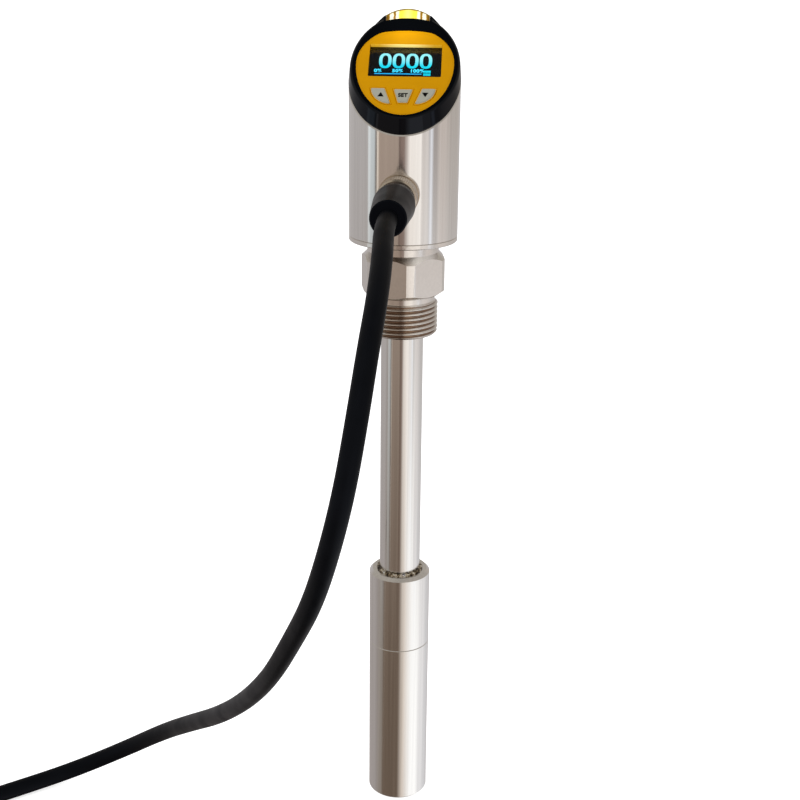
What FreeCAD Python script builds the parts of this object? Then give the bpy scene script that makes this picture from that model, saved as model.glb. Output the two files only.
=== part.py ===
import FreeCAD, Part
import math
import os

V = FreeCAD.Vector

# Tank level sensor, in millimetres. The origin is on the axis, in the sealing face under the hexagon.
# +Z points up the axis and the display and connector face -Y.

# Turned stainless parts
BODY_R = 20.0
BODY_WALL = 2.0
THREAD_R = 13.2205
THREAD_END_Z = -15.2
THREAD_CHAMFER = 1.0
RELIEF_R = 12.0
RELIEF_END_Z = -2.3
HEX_ACROSS_FLATS = 29.0
HEX_BAR_R = 15.9
HEX_HEIGHT = 16.0
HEX_CORNER_AZIMUTH = 13.5
HEX_TOP_CHAMFER = 2.6
HEX_FOOT_CHAMFER = 1.7
SEAL_FACE_R = 13.6
NECK_R = 13.25
NECK_TOP_Z = 20.0
FLANGE_TOP_Z = 21.8
FLANGE_BREAK = 0.3
SPIGOT_R = 17.95
SPIGOT_TOP_Z = 27.0
STEM_R = 8.0
STEM_WALL = 1.5
STEM_SOCKET_R = 8.05
STEM_SOCKET_DEPTH = 14.0
PROBE_R = 12.0
PROBE_TOP_Z = -113.6
PROBE_SEAM_Z = -145.5
PROBE_END_Z = -215.0
PROBE_TOP_EDGE = 1.2
PROBE_FOOT_EDGE = 0.8
SEAM_BREAK = 0.2
PROBE_LEAD_HOLE_R = 5.5
JOINT_SPIGOT_R = 10.2
JOINT_SPIGOT_LENGTH = 9.0
JOINT_BORE_R = 10.25
JOINT_BORE_LENGTH = 9.5
WELD_RISE = 1.2
WELD_R = 9.15
WELD_BULGE = 0.2
WELD_BULGE_RISE = 0.78

# O-rings between turned parts
SEAL_CORD_R = 0.58
SEAL_GROOVE_DEPTH = 1.15
SEAL_GROOVE_WIDTH = 1.3
SEAL_GAP = 0.01
BASE_SEAL_Z = 24.4
CAP_SEAL_Z = 55.0
JOINT_SEAL_Z = -149.5
CELL_SEAL_Z = -204.0

# Pressure cell at the lower end of the probe
CELL_R = 9.5
CELL_POCKET_R = 9.55
CELL_TOP_Z = -197.8
CELL_FACE_Z = -211.8
CELL_RIM_R = 8.2
CELL_WAVE_COUNT = 3
CELL_WAVE_HEIGHT = 0.3
CELL_STUB_R = 3.0
CELL_STUB_TOP_Z = -190.0
PROBE_INNER_R = 8.6
NOSE_RING_BORE_R = 7.6
NOSE_RING_END_Z = -214.6
NOSE_RING_NOTCH = 1.2
CELL_BOARD_R = 8.0
BOARD_THICKNESS = 1.6
LEAD_R = 2.1
LEAD_TOP_Z = 40.0

# Slanted head: depths are measured square to the face, into the head
FACE_SLOPE = 40.0
STEEL_FRONT_Z = 60.4
BAND_HEIGHT = 6.1
STEEL_TOP_EDGE = 0.3
CAP_R = 20.1
CAP_FOOT_EDGE = 0.5
FACE_HALF_WIDTH = 19.5
FACE_HALF_LENGTH = 26.0
RIM_ROUND = 1.2
SKIRT_R = 17.93
SKIRT_END_Z = 52.0
CAVITY_R = 16.1
PANEL_TOP_DEPTH = 0.2
PANEL_BACK_DEPTH = 1.5
FLOOR_BACK_DEPTH = 2.7
BOARD_TOP_DEPTH = 5.5
PANEL_HALF_WIDTH = 17.35
PANEL_BOTTOM = -24.6
PANEL_TOP = 16.0
PANEL_CORNER_X = 9.0
PANEL_CORNER_Y = 15.0
PANEL_CORNER_ROUND = 7.0
PANEL_GAP = 0.1
WINDOW_SIZE = (25.8, 15.7)
WINDOW_CENTRE_Y = 1.35
WINDOW_ROUND = 0.5
LENS_SIZE = (27.4, 17.4)
DISPLAY_SIZE = (25.6, 18.6)
DISPLAY_CENTRE_Y = -0.4
DISPLAY_TOP_DEPTH = 3.0
DISPLAY_GLASS = 1.45
DISPLAY_FRAME_INSET = 1.2
DISPLAY_BOARD_R = 15.4
BOSS_R = 1.5
BOSS_PLACES = ((-4.2, 11.0), (4.2, 11.0), (0.0, -22.8))
SCREW_R = 0.7
SCREW_GAP = 0.05
SCREW_LENGTH = 4.0
SCREW_HEAD_R = 1.3
SCREW_HEAD_HEIGHT = 0.9
SCREW_SOCKET_R = 0.5

# Push keys, drawn on the face: x across, y up the slope
KEY_TOP_Y = -12.4
KEY_BOTTOM_Y = -19.5
SET_KEY_TOP_Y = -12.8
SET_KEY_BOTTOM_Y = -19.0
SET_KEY_HALF_TOP = 3.3
SET_KEY_HALF_BOTTOM = 1.6
SIDE_KEY_TOP_OUTER = 11.3
SIDE_KEY_TOP_INNER = 6.6
SIDE_KEY_BOTTOM_INNER = 4.3
SIDE_KEY_BOTTOM_OUTER = 5.4
SIDE_KEY_BULGE = (9.5, -17.0)
KEY_PROUD = 0.3
KEY_CORNER_ROUND = 0.5
KEY_EDGE = 0.35
KEY_GAP = 0.2
KEY_RIM = 0.4
KEY_FLANGE_MARGIN = 0.9
KEY_FLANGE_DEPTHS = (3.0, 3.65)
SWITCH_SIZE = 3.6
SWITCH_HEIGHT = 0.65
SWITCH_PLUNGER_R = 0.9
SWITCH_PLUNGER_HEIGHT = 0.4
SIDE_SWITCH_PLACE = (7.4, -15.6)

# Status light at the top rear of the head
LIGHT_HALF_WIDTH = 7.9
LIGHT_FRONT_Y = 17.05
LIGHT_FRONT_END_Y = 16.05
LIGHT_CROWN = 0.6
LIGHT_DEPTH = 3.2
LIGHT_GAP = 0.05
LIGHT_SHOULDER = (8.6, 12.2)
LIGHT_SHOULDER_Y = 12.0
LIGHT_RIB_XS = (-6.2, -4.2, 4.2, 6.2)
LIGHT_RIB_WIDTH = 0.5
LIGHT_RIB_DEPTH = 0.5
TONGUE_HALF_WIDTH = 4.5
TONGUE_SPAN = (13.1, 22.0)
TONGUE_DEPTHS = (3.0, 4.0)
LED_SIZE = (1.6, 2.4, 0.7)
LED_X = 2.2
LED_Y = 13.6

# Main board in the body tube
CARRIER_R = 17.4
CARRIER_FLOOR = 2.5
CARRIER_HOLE_R = 6.0
POST_SIZE = (2.6, 5.0)
POST_X = 14.6
POST_TOP_Z = 51.5
SLOT_GAP = 0.05
MAIN_BOARD_HALF_WIDTH = 14.2
MAIN_BOARD_FRONT_Y = 2.15
MAIN_BOARD_TOP_Z = 60.0
CHIP_SIZES = ((9.0, 6.0, 1.6), (6.0, 6.0, 1.0), (12.0, 5.0, 3.2))
CHIP_ZS = (54.0, 46.0, 36.0)

# Connector on the front: r are radii, out are distances from the sensor's axis
CONNECTOR_Z = 40.0
CONNECTOR_TURN = 1.75
SOCKET_FLANGE_R = 7.3
SOCKET_FLANGE_OUT = 22.4
SOCKET_NOSE_R = 5.95
SOCKET_NOSE_OUT = 27.6
SOCKET_CAVITY_R = 4.35
SOCKET_SHANK_OUT = 12.0
SOCKET_HOLE_R = 6.05
SADDLE_GAP = 0.02
LOCK_NUT_ACROSS_FLATS = 14.0
LOCK_NUT_OUTS = (13.4, 16.5)
LOCK_NUT_BORE_R = 6.05
INSERT_R = 4.3
INSERT_OUTS = (12.0, 22.6)
PIN_R = 0.5
PIN_CIRCLE_R = 2.3
PIN_COUNT = 4
PIN_OUTS = (9.0, 30.0)
PIN_HOLE_R = 0.55
PLUG_INSERT_R = 4.2
PLUG_INSERT_OUTS = (22.65, 31.2)
PLUG_COLLAR_R = 5.7
PLUG_COLLAR_OUTS = (27.9, 29.5)
NUT_R = 7.0
NUT_BORE_R = 6.03
NUT_LIP_R = 5.55
NUT_OUTS = (22.8, 31.0)
NUT_LIP_OUT = 29.8
NUT_EDGE = 0.5
BOOT_NECK_R = 5.1
BOOT_INSERT_GAP = 0.02
BOOT_REAR_R = 6.0
BOOT_SHOULDER_OUT = 31.9
BOOT_BULGE_R = 7.3
BOOT_BULGE_OUT = 40.0
BOOT_END_R = 6.2
BOOT_END_OUT = 60.0
BOOT_EDGE = 0.5
BOOT_PIVOT_OUT = 28.0
BOOT_LEAN_DOWN = 1.5

# Cable: it leaves the boot straight, hangs in one loop and runs to a coil on the ground beside the probe
CABLE_R = 3.3
GROUND_Z = PROBE_END_Z
CABLE_STRAIGHT = 14.0
CABLE_HANG = [
    (-1.3, -91.5, 35.2),
    (-1.3, -111, 27.3),
    (-2.7, -128, 16),
    (-4.6, -141, 0.5),
    (-7.6, -148.6, -19),
    (-12.5, -147, -39.5),
    (-18.5, -137, -60),
    (-26.5, -122, -80.3),
    (-36.2, -104, -103.8),
    (-48.4, -84, -125.8),
    (-62.9, -62, -146.2),
    (-78.3, -40, -164),
    (-94.4, -21, -181),
    (-115, -8, -199),
    (-138, -9, -210),
    (-158, -21, -211.7),
    (-176, -35, -211.14),
]
ARC_SHARE = 0.45
COIL_RADII = (28.4, 48.2)
COIL_LEAD_IN = 26.0
COIL_TAIL_AZIMUTH = 180.0
COIL_TAIL_LENGTH = 62.0
COIL_TAIL_END_RISE = 1.0
TIE_THICKNESS = 1.0
TIE_WIDTH = 5.0
TIE_GAP = 0.2
TIE_AZIMUTH = -142.0
WIRE_R = 0.7
WIRE_LENGTH = 22.0
WIRE_COUNT = 4
WIRE_CIRCLE_R = 1.5

# Sizes that follow from the ones above
BODY_BORE_R = BODY_R - BODY_WALL
SLOPE = math.radians(FACE_SLOPE)
JOINT_AXIS_Z = STEEL_FRONT_Z + BODY_R * math.tan(SLOPE)
FACE_AXIS_Z = JOINT_AXIS_Z + BAND_HEIGHT
JOINT_DEPTH = BAND_HEIGHT * math.cos(SLOPE)
BOARD_BACK_DEPTH = BOARD_TOP_DEPTH + BOARD_THICKNESS
FAR = 150.0
ROOT = 0.5
CONNECTOR_ANGLE = math.radians(CONNECTOR_TURN)
CONNECTOR_WAY = V(-math.sin(CONNECTOR_ANGLE), -math.cos(CONNECTOR_ANGLE), 0)
BOOT_DOWN = math.radians(BOOT_LEAN_DOWN)
BOOT_WAY = CONNECTOR_WAY * math.cos(BOOT_DOWN) - V(0, 0, math.sin(BOOT_DOWN))
BOOT_PIVOT = V(0, 0, CONNECTOR_Z) + CONNECTOR_WAY * BOOT_PIVOT_OUT
BOOT_END = BOOT_PIVOT + BOOT_WAY * (BOOT_END_OUT - BOOT_PIVOT_OUT)
CABLE_ROUTE = [BOOT_END, BOOT_END + BOOT_WAY * CABLE_STRAIGHT] + [V(*place) for place in CABLE_HANG]


def cylinder(radius, low, high):
    """Upright cylinder on the axis between two heights."""
    return Part.makeCylinder(radius, high - low, V(0, 0, low))


def tube(outer, inner, low, high):
    """Upright tube on the axis between two heights."""
    return cylinder(outer, low, high).cut(cylinder(inner, low - 1, high + 1))


def turned(profile):
    """Solid of revolution from a closed profile of (radius, height) corners."""
    corners = [V(r, 0, z) for r, z in profile]
    outline = Part.makePolygon(corners + corners[:1])
    return Part.Face(outline).revolve(V(0, 0, 0), V(0, 0, 1), 360)


def o_ring(outer_wall_r, z):
    """O-ring whose outside just reaches a bore of the given radius."""
    return Part.makeTorus(outer_wall_r - SEAL_CORD_R - SEAL_GAP, SEAL_CORD_R, V(0, 0, z))


def o_ring_groove(shaft_r, z):
    """Ring to cut from a shaft for an O-ring at height z."""
    low = z - SEAL_GROOVE_WIDTH / 2
    return tube(shaft_r + 1, shaft_r - SEAL_GROOVE_DEPTH, low, low + SEAL_GROOVE_WIDTH)


def block(width, depth, low, high, x=0.0, y=0.0):
    """Upright block centred on (x, y)."""
    corner = V(x - width / 2, y - depth / 2, low)
    return Part.makeBox(width, depth, high - low, corner)


def upright_edges(shape):
    """Straight edges of a shape that run along Z."""
    found = []
    for edge in shape.Edges:
        run = edge.Vertexes[-1].Point - edge.Vertexes[0].Point
        if abs(run.z) > 1e-6 and abs(run.x) < 1e-6 and abs(run.y) < 1e-6:
            found.append(edge)
    return found


def rounded_block(size, radius, low, high, y):
    """Block with rounded upright edges, centred across the face."""
    plain = block(size[0], size[1], low, high, 0.0, y)
    return plain.makeFillet(radius, upright_edges(plain))


def on_face(shape):
    """Carry a shape drawn on the XY plane to the slanted face, Z along the face's normal."""
    placed = shape.copy()
    placed.rotate(V(0, 0, 0), V(1, 0, 0), FACE_SLOPE)
    placed.translate(V(0, 0, FACE_AXIS_Z))
    return placed


def slab(deep, shallow):
    """Everything between two depths below the slanted face."""
    return on_face(block(2 * FAR, 2 * FAR, -deep, -shallow))


def on_connector(shape):
    """Carry a shape drawn along Z to the connector's axis, Z pointing out of the front."""
    placed = shape.copy()
    placed.rotate(V(0, 0, 0), V(1, 0, 0), 90)
    placed.rotate(V(0, 0, 0), V(0, 0, 1), -CONNECTOR_TURN)
    placed.translate(V(0, 0, CONNECTOR_Z))
    return placed


def hexagon(across_flats, low, high, corner_angle):
    """Upright hexagonal prism with one corner at the given angle."""
    corner_r = across_flats / 2 / math.cos(math.radians(30))
    corners = []
    for i in range(7):
        angle = math.radians(corner_angle + 60 * i)
        corners.append(V(corner_r * math.cos(angle), corner_r * math.sin(angle), low))
    return Part.Face(Part.makePolygon(corners)).extrude(V(0, 0, high - low))


def process_fitting():
    """Flange, neck, hexagon and thread, turned and milled from one bar."""
    thread_low_r = THREAD_R - THREAD_CHAMFER
    run_out_z = RELIEF_END_Z - (THREAD_R - RELIEF_R)
    lower = turned([
        (0, ROOT),
        (RELIEF_R, ROOT),
        (RELIEF_R, RELIEF_END_Z),
        (THREAD_R, run_out_z),
        (THREAD_R, THREAD_END_Z + THREAD_CHAMFER),
        (thread_low_r, THREAD_END_Z),
        (0, THREAD_END_Z),
    ])
    hex_turned = turned([
        (0, 0),
        (SEAL_FACE_R, 0),
        (HEX_BAR_R, HEX_FOOT_CHAMFER),
        (HEX_BAR_R, HEX_HEIGHT - HEX_TOP_CHAMFER),
        (NECK_R, HEX_HEIGHT),
        (0, HEX_HEIGHT),
    ])
    corner_angle = HEX_CORNER_AZIMUTH - 90
    hex_part = hex_turned.common(hexagon(HEX_ACROSS_FLATS, 0, HEX_HEIGHT, corner_angle))
    upper = turned([
        (0, HEX_HEIGHT - ROOT),
        (NECK_R, HEX_HEIGHT - ROOT),
        (NECK_R, NECK_TOP_Z),
        (BODY_R - FLANGE_BREAK, NECK_TOP_Z),
        (BODY_R, NECK_TOP_Z + FLANGE_BREAK),
        (BODY_R, FLANGE_TOP_Z - SEAM_BREAK),
        (BODY_R - SEAM_BREAK, FLANGE_TOP_Z),
        (SPIGOT_R, FLANGE_TOP_Z),
        (SPIGOT_R, SPIGOT_TOP_Z),
        (0, SPIGOT_TOP_Z),
    ])
    fitting = lower.fuse([hex_part, upper]).removeSplitter()
    fitting = fitting.cut(o_ring_groove(SPIGOT_R, BASE_SEAL_Z))
    return fitting.cut(cylinder(STEM_SOCKET_R, THREAD_END_Z - 1, SPIGOT_TOP_Z + 1))


def housing_tube():
    """Body tube, cut on the slant of the head and bored for the connector."""
    foot = turned([
        (BODY_BORE_R, FLANGE_TOP_Z),
        (BODY_R - SEAM_BREAK, FLANGE_TOP_Z),
        (BODY_R, FLANGE_TOP_Z + SEAM_BREAK),
        (BODY_R, FAR),
        (BODY_BORE_R, FAR),
    ])
    body = foot.common(slab(2 * FAR, JOINT_DEPTH))
    rim = []
    for edge in body.Edges:
        box = edge.BoundBox
        if len(edge.Vertexes) == 1 and box.ZLength > 1 and box.XMax > BODY_R - SEAM_BREAK:
            rim.append(edge)
    body = body.makeChamfer(STEEL_TOP_EDGE, rim)
    return body.cut(on_connector(cylinder(SOCKET_HOLE_R, 0, FAR)))


def stem_tube():
    """Tube from the fitting down into the probe."""
    low = PROBE_TOP_Z - STEM_SOCKET_DEPTH
    return tube(STEM_R, STEM_R - STEM_WALL, low, SPIGOT_TOP_Z)


def weld_bead():
    """Convex fillet weld where the stem enters the probe."""
    bulge_r = (STEM_SOCKET_R + WELD_R) / 2 + WELD_BULGE
    middle = V(bulge_r, 0, PROBE_TOP_Z + WELD_BULGE_RISE)
    top = V(STEM_SOCKET_R, 0, PROBE_TOP_Z + WELD_RISE)
    toe = V(WELD_R, 0, PROBE_TOP_Z)
    root = V(STEM_SOCKET_R, 0, PROBE_TOP_Z)
    outline = Part.Wire([
        Part.LineSegment(root, toe).toShape(),
        Part.Arc(toe, middle, top).toShape(),
        Part.LineSegment(top, root).toShape(),
    ])
    return Part.Face(outline).revolve(V(0, 0, 0), V(0, 0, 1), 360)


def probe_coupling():
    """Upper part of the probe: stem socket above, screwed spigot below."""
    socket_z = PROBE_TOP_Z - STEM_SOCKET_DEPTH
    spigot_end = PROBE_SEAM_Z - JOINT_SPIGOT_LENGTH
    body = turned([
        (STEM_SOCKET_R, PROBE_TOP_Z),
        (PROBE_R - PROBE_TOP_EDGE, PROBE_TOP_Z),
        (PROBE_R, PROBE_TOP_Z - PROBE_TOP_EDGE),
        (PROBE_R, PROBE_SEAM_Z + SEAM_BREAK),
        (PROBE_R - SEAM_BREAK, PROBE_SEAM_Z),
        (JOINT_SPIGOT_R, PROBE_SEAM_Z),
        (JOINT_SPIGOT_R, spigot_end),
        (PROBE_LEAD_HOLE_R, spigot_end),
        (PROBE_LEAD_HOLE_R, socket_z),
        (STEM_SOCKET_R, socket_z),
    ])
    return body.cut(o_ring_groove(JOINT_SPIGOT_R, JOINT_SEAL_Z))


def probe_shell():
    """Lower part of the probe, bored from both ends."""
    joint_end = PROBE_SEAM_Z - JOINT_BORE_LENGTH
    return turned([
        (JOINT_BORE_R, PROBE_SEAM_Z),
        (PROBE_R - SEAM_BREAK, PROBE_SEAM_Z),
        (PROBE_R, PROBE_SEAM_Z - SEAM_BREAK),
        (PROBE_R, PROBE_END_Z + PROBE_FOOT_EDGE),
        (PROBE_R - PROBE_FOOT_EDGE, PROBE_END_Z),
        (CELL_POCKET_R, PROBE_END_Z),
        (CELL_POCKET_R, CELL_TOP_Z),
        (PROBE_INNER_R, CELL_TOP_Z),
        (PROBE_INNER_R, joint_end),
        (JOINT_BORE_R, joint_end),
    ])


def pressure_cell():
    """Pressure capsule with a corrugated diaphragm facing down."""
    profile = [(0, CELL_STUB_TOP_Z), (CELL_STUB_R, CELL_STUB_TOP_Z), (CELL_STUB_R, CELL_TOP_Z)]
    profile += [(CELL_R, CELL_TOP_Z), (CELL_R, CELL_FACE_Z), (CELL_RIM_R, CELL_FACE_Z)]
    wave = CELL_RIM_R / (CELL_WAVE_COUNT + 1)
    valley_z = CELL_FACE_Z + CELL_WAVE_HEIGHT
    for i in range(CELL_WAVE_COUNT):
        crest_r = CELL_RIM_R - wave * (i + 1)
        profile += [(crest_r + wave / 2, valley_z), (crest_r, CELL_FACE_Z)]
    profile += [(wave / 2, valley_z), (0, valley_z)]
    return turned(profile).cut(o_ring_groove(CELL_R, CELL_SEAL_Z))


def nose_ring():
    """Ring that holds the cell in, with two notches for a key."""
    ring = tube(CELL_R, NOSE_RING_BORE_R, NOSE_RING_END_Z, CELL_FACE_Z)
    notch_top = NOSE_RING_END_Z + NOSE_RING_NOTCH
    notch = block(2 * NOSE_RING_NOTCH, 4 * CELL_R, NOSE_RING_END_Z - 1, notch_top)
    return ring.cut(notch)


def cell_board():
    """Round board that stands on the cell's stub."""
    return cylinder(CELL_BOARD_R, CELL_STUB_TOP_Z, CELL_STUB_TOP_Z + BOARD_THICKNESS)


def signal_lead():
    """Lead from the cell board up the stem to the main board."""
    return cylinder(LEAD_R, CELL_STUB_TOP_Z + BOARD_THICKNESS, LEAD_TOP_Z)


def panel_outline(grow):
    """Outline of the yellow panel, grown all round: half an ellipse below, flattened arch above."""
    side = PANEL_HALF_WIDTH + grow
    bottom = PANEL_BOTTOM - grow
    top = PANEL_TOP + grow
    corner_r = V(PANEL_CORNER_X + grow / 2, PANEL_CORNER_Y + grow, 0)
    corner_l = V(-corner_r.x, corner_r.y, 0)
    inset = side - corner_r.x
    shoulder_r = (inset * inset + corner_r.y ** 2) / (2 * inset)
    shoulder_x = side - shoulder_r
    half_way = math.atan2(corner_r.y, corner_r.x - shoulder_x) / 2
    mid_r = V(shoulder_x + shoulder_r * math.cos(half_way), shoulder_r * math.sin(half_way), 0)
    mid_l = V(-mid_r.x, mid_r.y, 0)
    bowl = Part.Ellipse(V(0, bottom, 0), V(side, 0, 0), V(0, 0, 0))
    ends = sorted([bowl.parameter(V(-side, 0, 0)), bowl.parameter(V(side, 0, 0))])
    low_arc = Part.ArcOfEllipse(bowl, ends[1], ends[0] + 2 * math.pi)
    edges = [
        low_arc.toShape(),
        Part.Arc(V(side, 0, 0), mid_r, corner_r).toShape(),
        Part.Arc(corner_r, V(0, top, 0), corner_l).toShape(),
        Part.Arc(corner_l, mid_l, V(-side, 0, 0)).toShape(),
    ]
    return Part.Wire(Part.__sortEdges__(edges))


def panel_plate(grow, deep, shallow):
    """Plate of the panel's outline between two depths, drawn on the face and grown all round."""
    plate = Part.Face(panel_outline(grow)).extrude(V(0, 0, deep - shallow))
    plate.translate(V(0, 0, -deep))
    corners = []
    for edge in upright_edges(plate):
        if edge.Vertexes[0].Point.y > PANEL_CORNER_Y / 2:
            corners.append(edge)
    return plate.makeFillet(PANEL_CORNER_ROUND, corners)


def set_key_outline():
    """Trapezoid of the middle key."""
    corners = [
        V(-SET_KEY_HALF_TOP, SET_KEY_TOP_Y, 0),
        V(-SET_KEY_HALF_BOTTOM, SET_KEY_BOTTOM_Y, 0),
        V(SET_KEY_HALF_BOTTOM, SET_KEY_BOTTOM_Y, 0),
        V(SET_KEY_HALF_TOP, SET_KEY_TOP_Y, 0),
    ]
    return Part.makePolygon(corners + corners[:1])


def side_key_outline(side):
    """Outer key, its outer edge curved along the panel; side is -1 or 1."""
    top_outer = V(side * SIDE_KEY_TOP_OUTER, KEY_TOP_Y, 0)
    top_inner = V(side * SIDE_KEY_TOP_INNER, KEY_TOP_Y, 0)
    low_inner = V(side * SIDE_KEY_BOTTOM_INNER, KEY_BOTTOM_Y, 0)
    low_outer = V(side * SIDE_KEY_BOTTOM_OUTER, KEY_BOTTOM_Y, 0)
    bulge = V(side * SIDE_KEY_BULGE[0], SIDE_KEY_BULGE[1], 0)
    return Part.Wire([
        Part.LineSegment(top_outer, top_inner).toShape(),
        Part.LineSegment(top_inner, low_inner).toShape(),
        Part.LineSegment(low_inner, low_outer).toShape(),
        Part.Arc(low_outer, bulge, top_outer).toShape(),
    ])


KEY_OUTLINES = {
    "up_key": side_key_outline(-1),
    "set_key": set_key_outline(),
    "down_key": side_key_outline(1),
}


def key_prism(outline, grow, deep, shallow):
    """Prism of a key's outline between two depths, grown all round."""
    wire = outline.makeOffset2D(grow, 2) if grow else outline
    prism = Part.Face(wire).extrude(V(0, 0, deep - shallow))
    prism.translate(V(0, 0, -deep))
    return prism


def push_key(outline):
    """Key with rounded corners, a broken top edge and a flange that stops it coming out."""
    stem = key_prism(outline, 0.0, KEY_FLANGE_DEPTHS[1], -KEY_PROUD)
    stem = stem.makeFillet(KEY_CORNER_ROUND, upright_edges(stem))
    top_edges = []
    for edge in stem.Edges:
        if min(v.Point.z for v in edge.Vertexes) > KEY_PROUD - 1e-6:
            top_edges.append(edge)
    stem = stem.makeChamfer(KEY_EDGE, top_edges)
    flange = key_prism(outline, KEY_FLANGE_MARGIN, KEY_FLANGE_DEPTHS[1], KEY_FLANGE_DEPTHS[0])
    return on_face(stem.fuse(flange).removeSplitter())


def key_holes(deep, shallow):
    """Clearance holes for all three keys between two depths."""
    return [key_prism(outline, KEY_GAP, deep, shallow) for outline in KEY_OUTLINES.values()]


def front_panel():
    """Yellow plate with the window and the key holes."""
    plate = panel_plate(0.0, PANEL_BACK_DEPTH, PANEL_TOP_DEPTH)
    window = rounded_block(WINDOW_SIZE, WINDOW_ROUND, -FAR, FAR, WINDOW_CENTRE_Y)
    plate = plate.cut([window] + key_holes(PANEL_BACK_DEPTH + 1, -1.0))
    key_edges = []
    for edge in plate.Edges:
        on_top = edge.BoundBox.ZMin > -PANEL_TOP_DEPTH - 1e-3
        if on_top and min(edge.distToShape(key)[0] for key in KEY_OUTLINES.values()) < 2 * KEY_GAP:
            key_edges.append(edge)
    return on_face(plate.makeChamfer(KEY_RIM, key_edges))


def display_window():
    """Clear lens bonded under the panel."""
    lens = rounded_block(LENS_SIZE, WINDOW_ROUND, -FLOOR_BACK_DEPTH, -PANEL_BACK_DEPTH, WINDOW_CENTRE_Y)
    return on_face(lens)


def display_module():
    """Display glass on its carrier frame."""
    glass_back = DISPLAY_TOP_DEPTH + DISPLAY_GLASS
    glass = block(*DISPLAY_SIZE, -glass_back, -DISPLAY_TOP_DEPTH, 0.0, DISPLAY_CENTRE_Y)
    frame_size = [side - DISPLAY_FRAME_INSET for side in DISPLAY_SIZE]
    frame = block(*frame_size, -BOARD_TOP_DEPTH, -glass_back, 0.0, DISPLAY_CENTRE_Y)
    return on_face(glass.fuse(frame).removeSplitter())


def display_board():
    """Slanted board under the display, bored for its screws."""
    board = cylinder(DISPLAY_BOARD_R, 0, FAR).common(slab(BOARD_BACK_DEPTH, BOARD_TOP_DEPTH))
    for x, y in BOSS_PLACES:
        hole = Part.makeCylinder(SCREW_R + 2 * SCREW_GAP, FAR, V(x, y, -FAR))
        board = board.cut(on_face(hole))
    return board


def board_screws():
    """Socket screws that hold the display board to the cap's bosses."""
    screws = []
    for x, y in BOSS_PLACES:
        seat = -BOARD_BACK_DEPTH
        head_low = V(x, y, seat - SCREW_HEAD_HEIGHT)
        shank = Part.makeCylinder(SCREW_R, SCREW_LENGTH, V(x, y, seat))
        head = Part.makeCylinder(SCREW_HEAD_R, SCREW_HEAD_HEIGHT, head_low)
        socket = Part.makeCylinder(SCREW_SOCKET_R, SCREW_HEAD_HEIGHT / 2, head_low)
        screws.append(on_face(shank.fuse(head).cut(socket).removeSplitter()))
    return Part.makeCompound(screws)


def key_switches():
    """One low switch under each key."""
    places = [(side * SIDE_SWITCH_PLACE[0], SIDE_SWITCH_PLACE[1]) for side in (-1, 1)]
    places.append((0.0, SIDE_SWITCH_PLACE[1]))
    switches = []
    for x, y in places:
        top = SWITCH_HEIGHT - BOARD_TOP_DEPTH
        body = block(SWITCH_SIZE, SWITCH_SIZE, -BOARD_TOP_DEPTH, top, x, y)
        plunger = Part.makeCylinder(SWITCH_PLUNGER_R, SWITCH_PLUNGER_HEIGHT, V(x, y, top))
        switches.append(on_face(body.fuse(plunger).removeSplitter()))
    return Part.makeCompound(switches)


def cap_blank(top):
    """Slanted slice of the head: bevelled foot on the steel, then a taper past the face to a height."""
    rings = []
    foot_length = CAP_R / math.cos(SLOPE)
    for height, inset in ((-JOINT_DEPTH, CAP_FOOT_EDGE), (CAP_FOOT_EDGE - JOINT_DEPTH, 0.0), (top, 0.0)):
        share = height / JOINT_DEPTH + 1
        half_width = CAP_R + (FACE_HALF_WIDTH - CAP_R) * share - inset
        half_length = foot_length + (FACE_HALF_LENGTH - foot_length) * share - inset
        centre = V(0, height * math.tan(SLOPE), height)
        ring = Part.Ellipse(centre + V(0, half_length, 0), centre + V(half_width, 0, 0), centre)
        rings.append(Part.Wire(ring.toShape()))
    return Part.makeLoft(rings, True, True)


def light_plan(grow):
    """Upright prism of the status light's plan: gently arched front, straight ends, open at the rear."""
    half = LIGHT_HALF_WIDTH + grow
    front = LIGHT_FRONT_Y - grow
    front_end = LIGHT_FRONT_END_Y - grow
    rear = CAP_R + 1
    outline = Part.Wire([
        Part.Arc(V(-half, front_end, 0), V(0, front, 0), V(half, front_end, 0)).toShape(),
        Part.LineSegment(V(half, front_end, 0), V(half, rear, 0)).toShape(),
        Part.LineSegment(V(half, rear, 0), V(-half, rear, 0)).toShape(),
        Part.LineSegment(V(-half, rear, 0), V(-half, front_end, 0)).toShape(),
    ])
    return Part.Face(outline).extrude(V(0, 0, FAR))


def light_tongue(grow):
    """Tongue that carries the light in from the board."""
    width = 2 * (TONGUE_HALF_WIDTH + grow)
    span = TONGUE_SPAN[1] - TONGUE_SPAN[0]
    middle = (TONGUE_SPAN[0] + TONGUE_SPAN[1]) / 2
    low = -TONGUE_DEPTHS[1] - grow
    tongue = on_face(block(width, span + 2 * grow, low, grow - TONGUE_DEPTHS[0], 0.0, middle))
    return tongue.common(cylinder(BODY_R - BODY_WALL / 2 + grow, 0, FAR))


def status_lens():
    """Clear light window: a crowned piece of the head's rim with ribs on its face."""
    crown_r = LIGHT_HALF_WIDTH ** 2 / (2 * LIGHT_CROWN)
    crown = Part.makeCylinder(crown_r, 2 * FAR, V(0, -FAR, LIGHT_CROWN - crown_r), V(0, 1, 0))
    head = on_face(crown.common(cap_blank(LIGHT_CROWN + ROOT)))
    body = light_plan(0.0).common(head).common(slab(LIGHT_DEPTH, -FAR))
    lens = body.fuse(light_tongue(0.0)).removeSplitter()
    ribs = []
    for x in LIGHT_RIB_XS:
        groove = block(LIGHT_RIB_WIDTH, 2 * FAR, -LIGHT_RIB_DEPTH, FAR, x)
        ribs.append(on_face(groove))
    return lens.cut(ribs)


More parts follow.
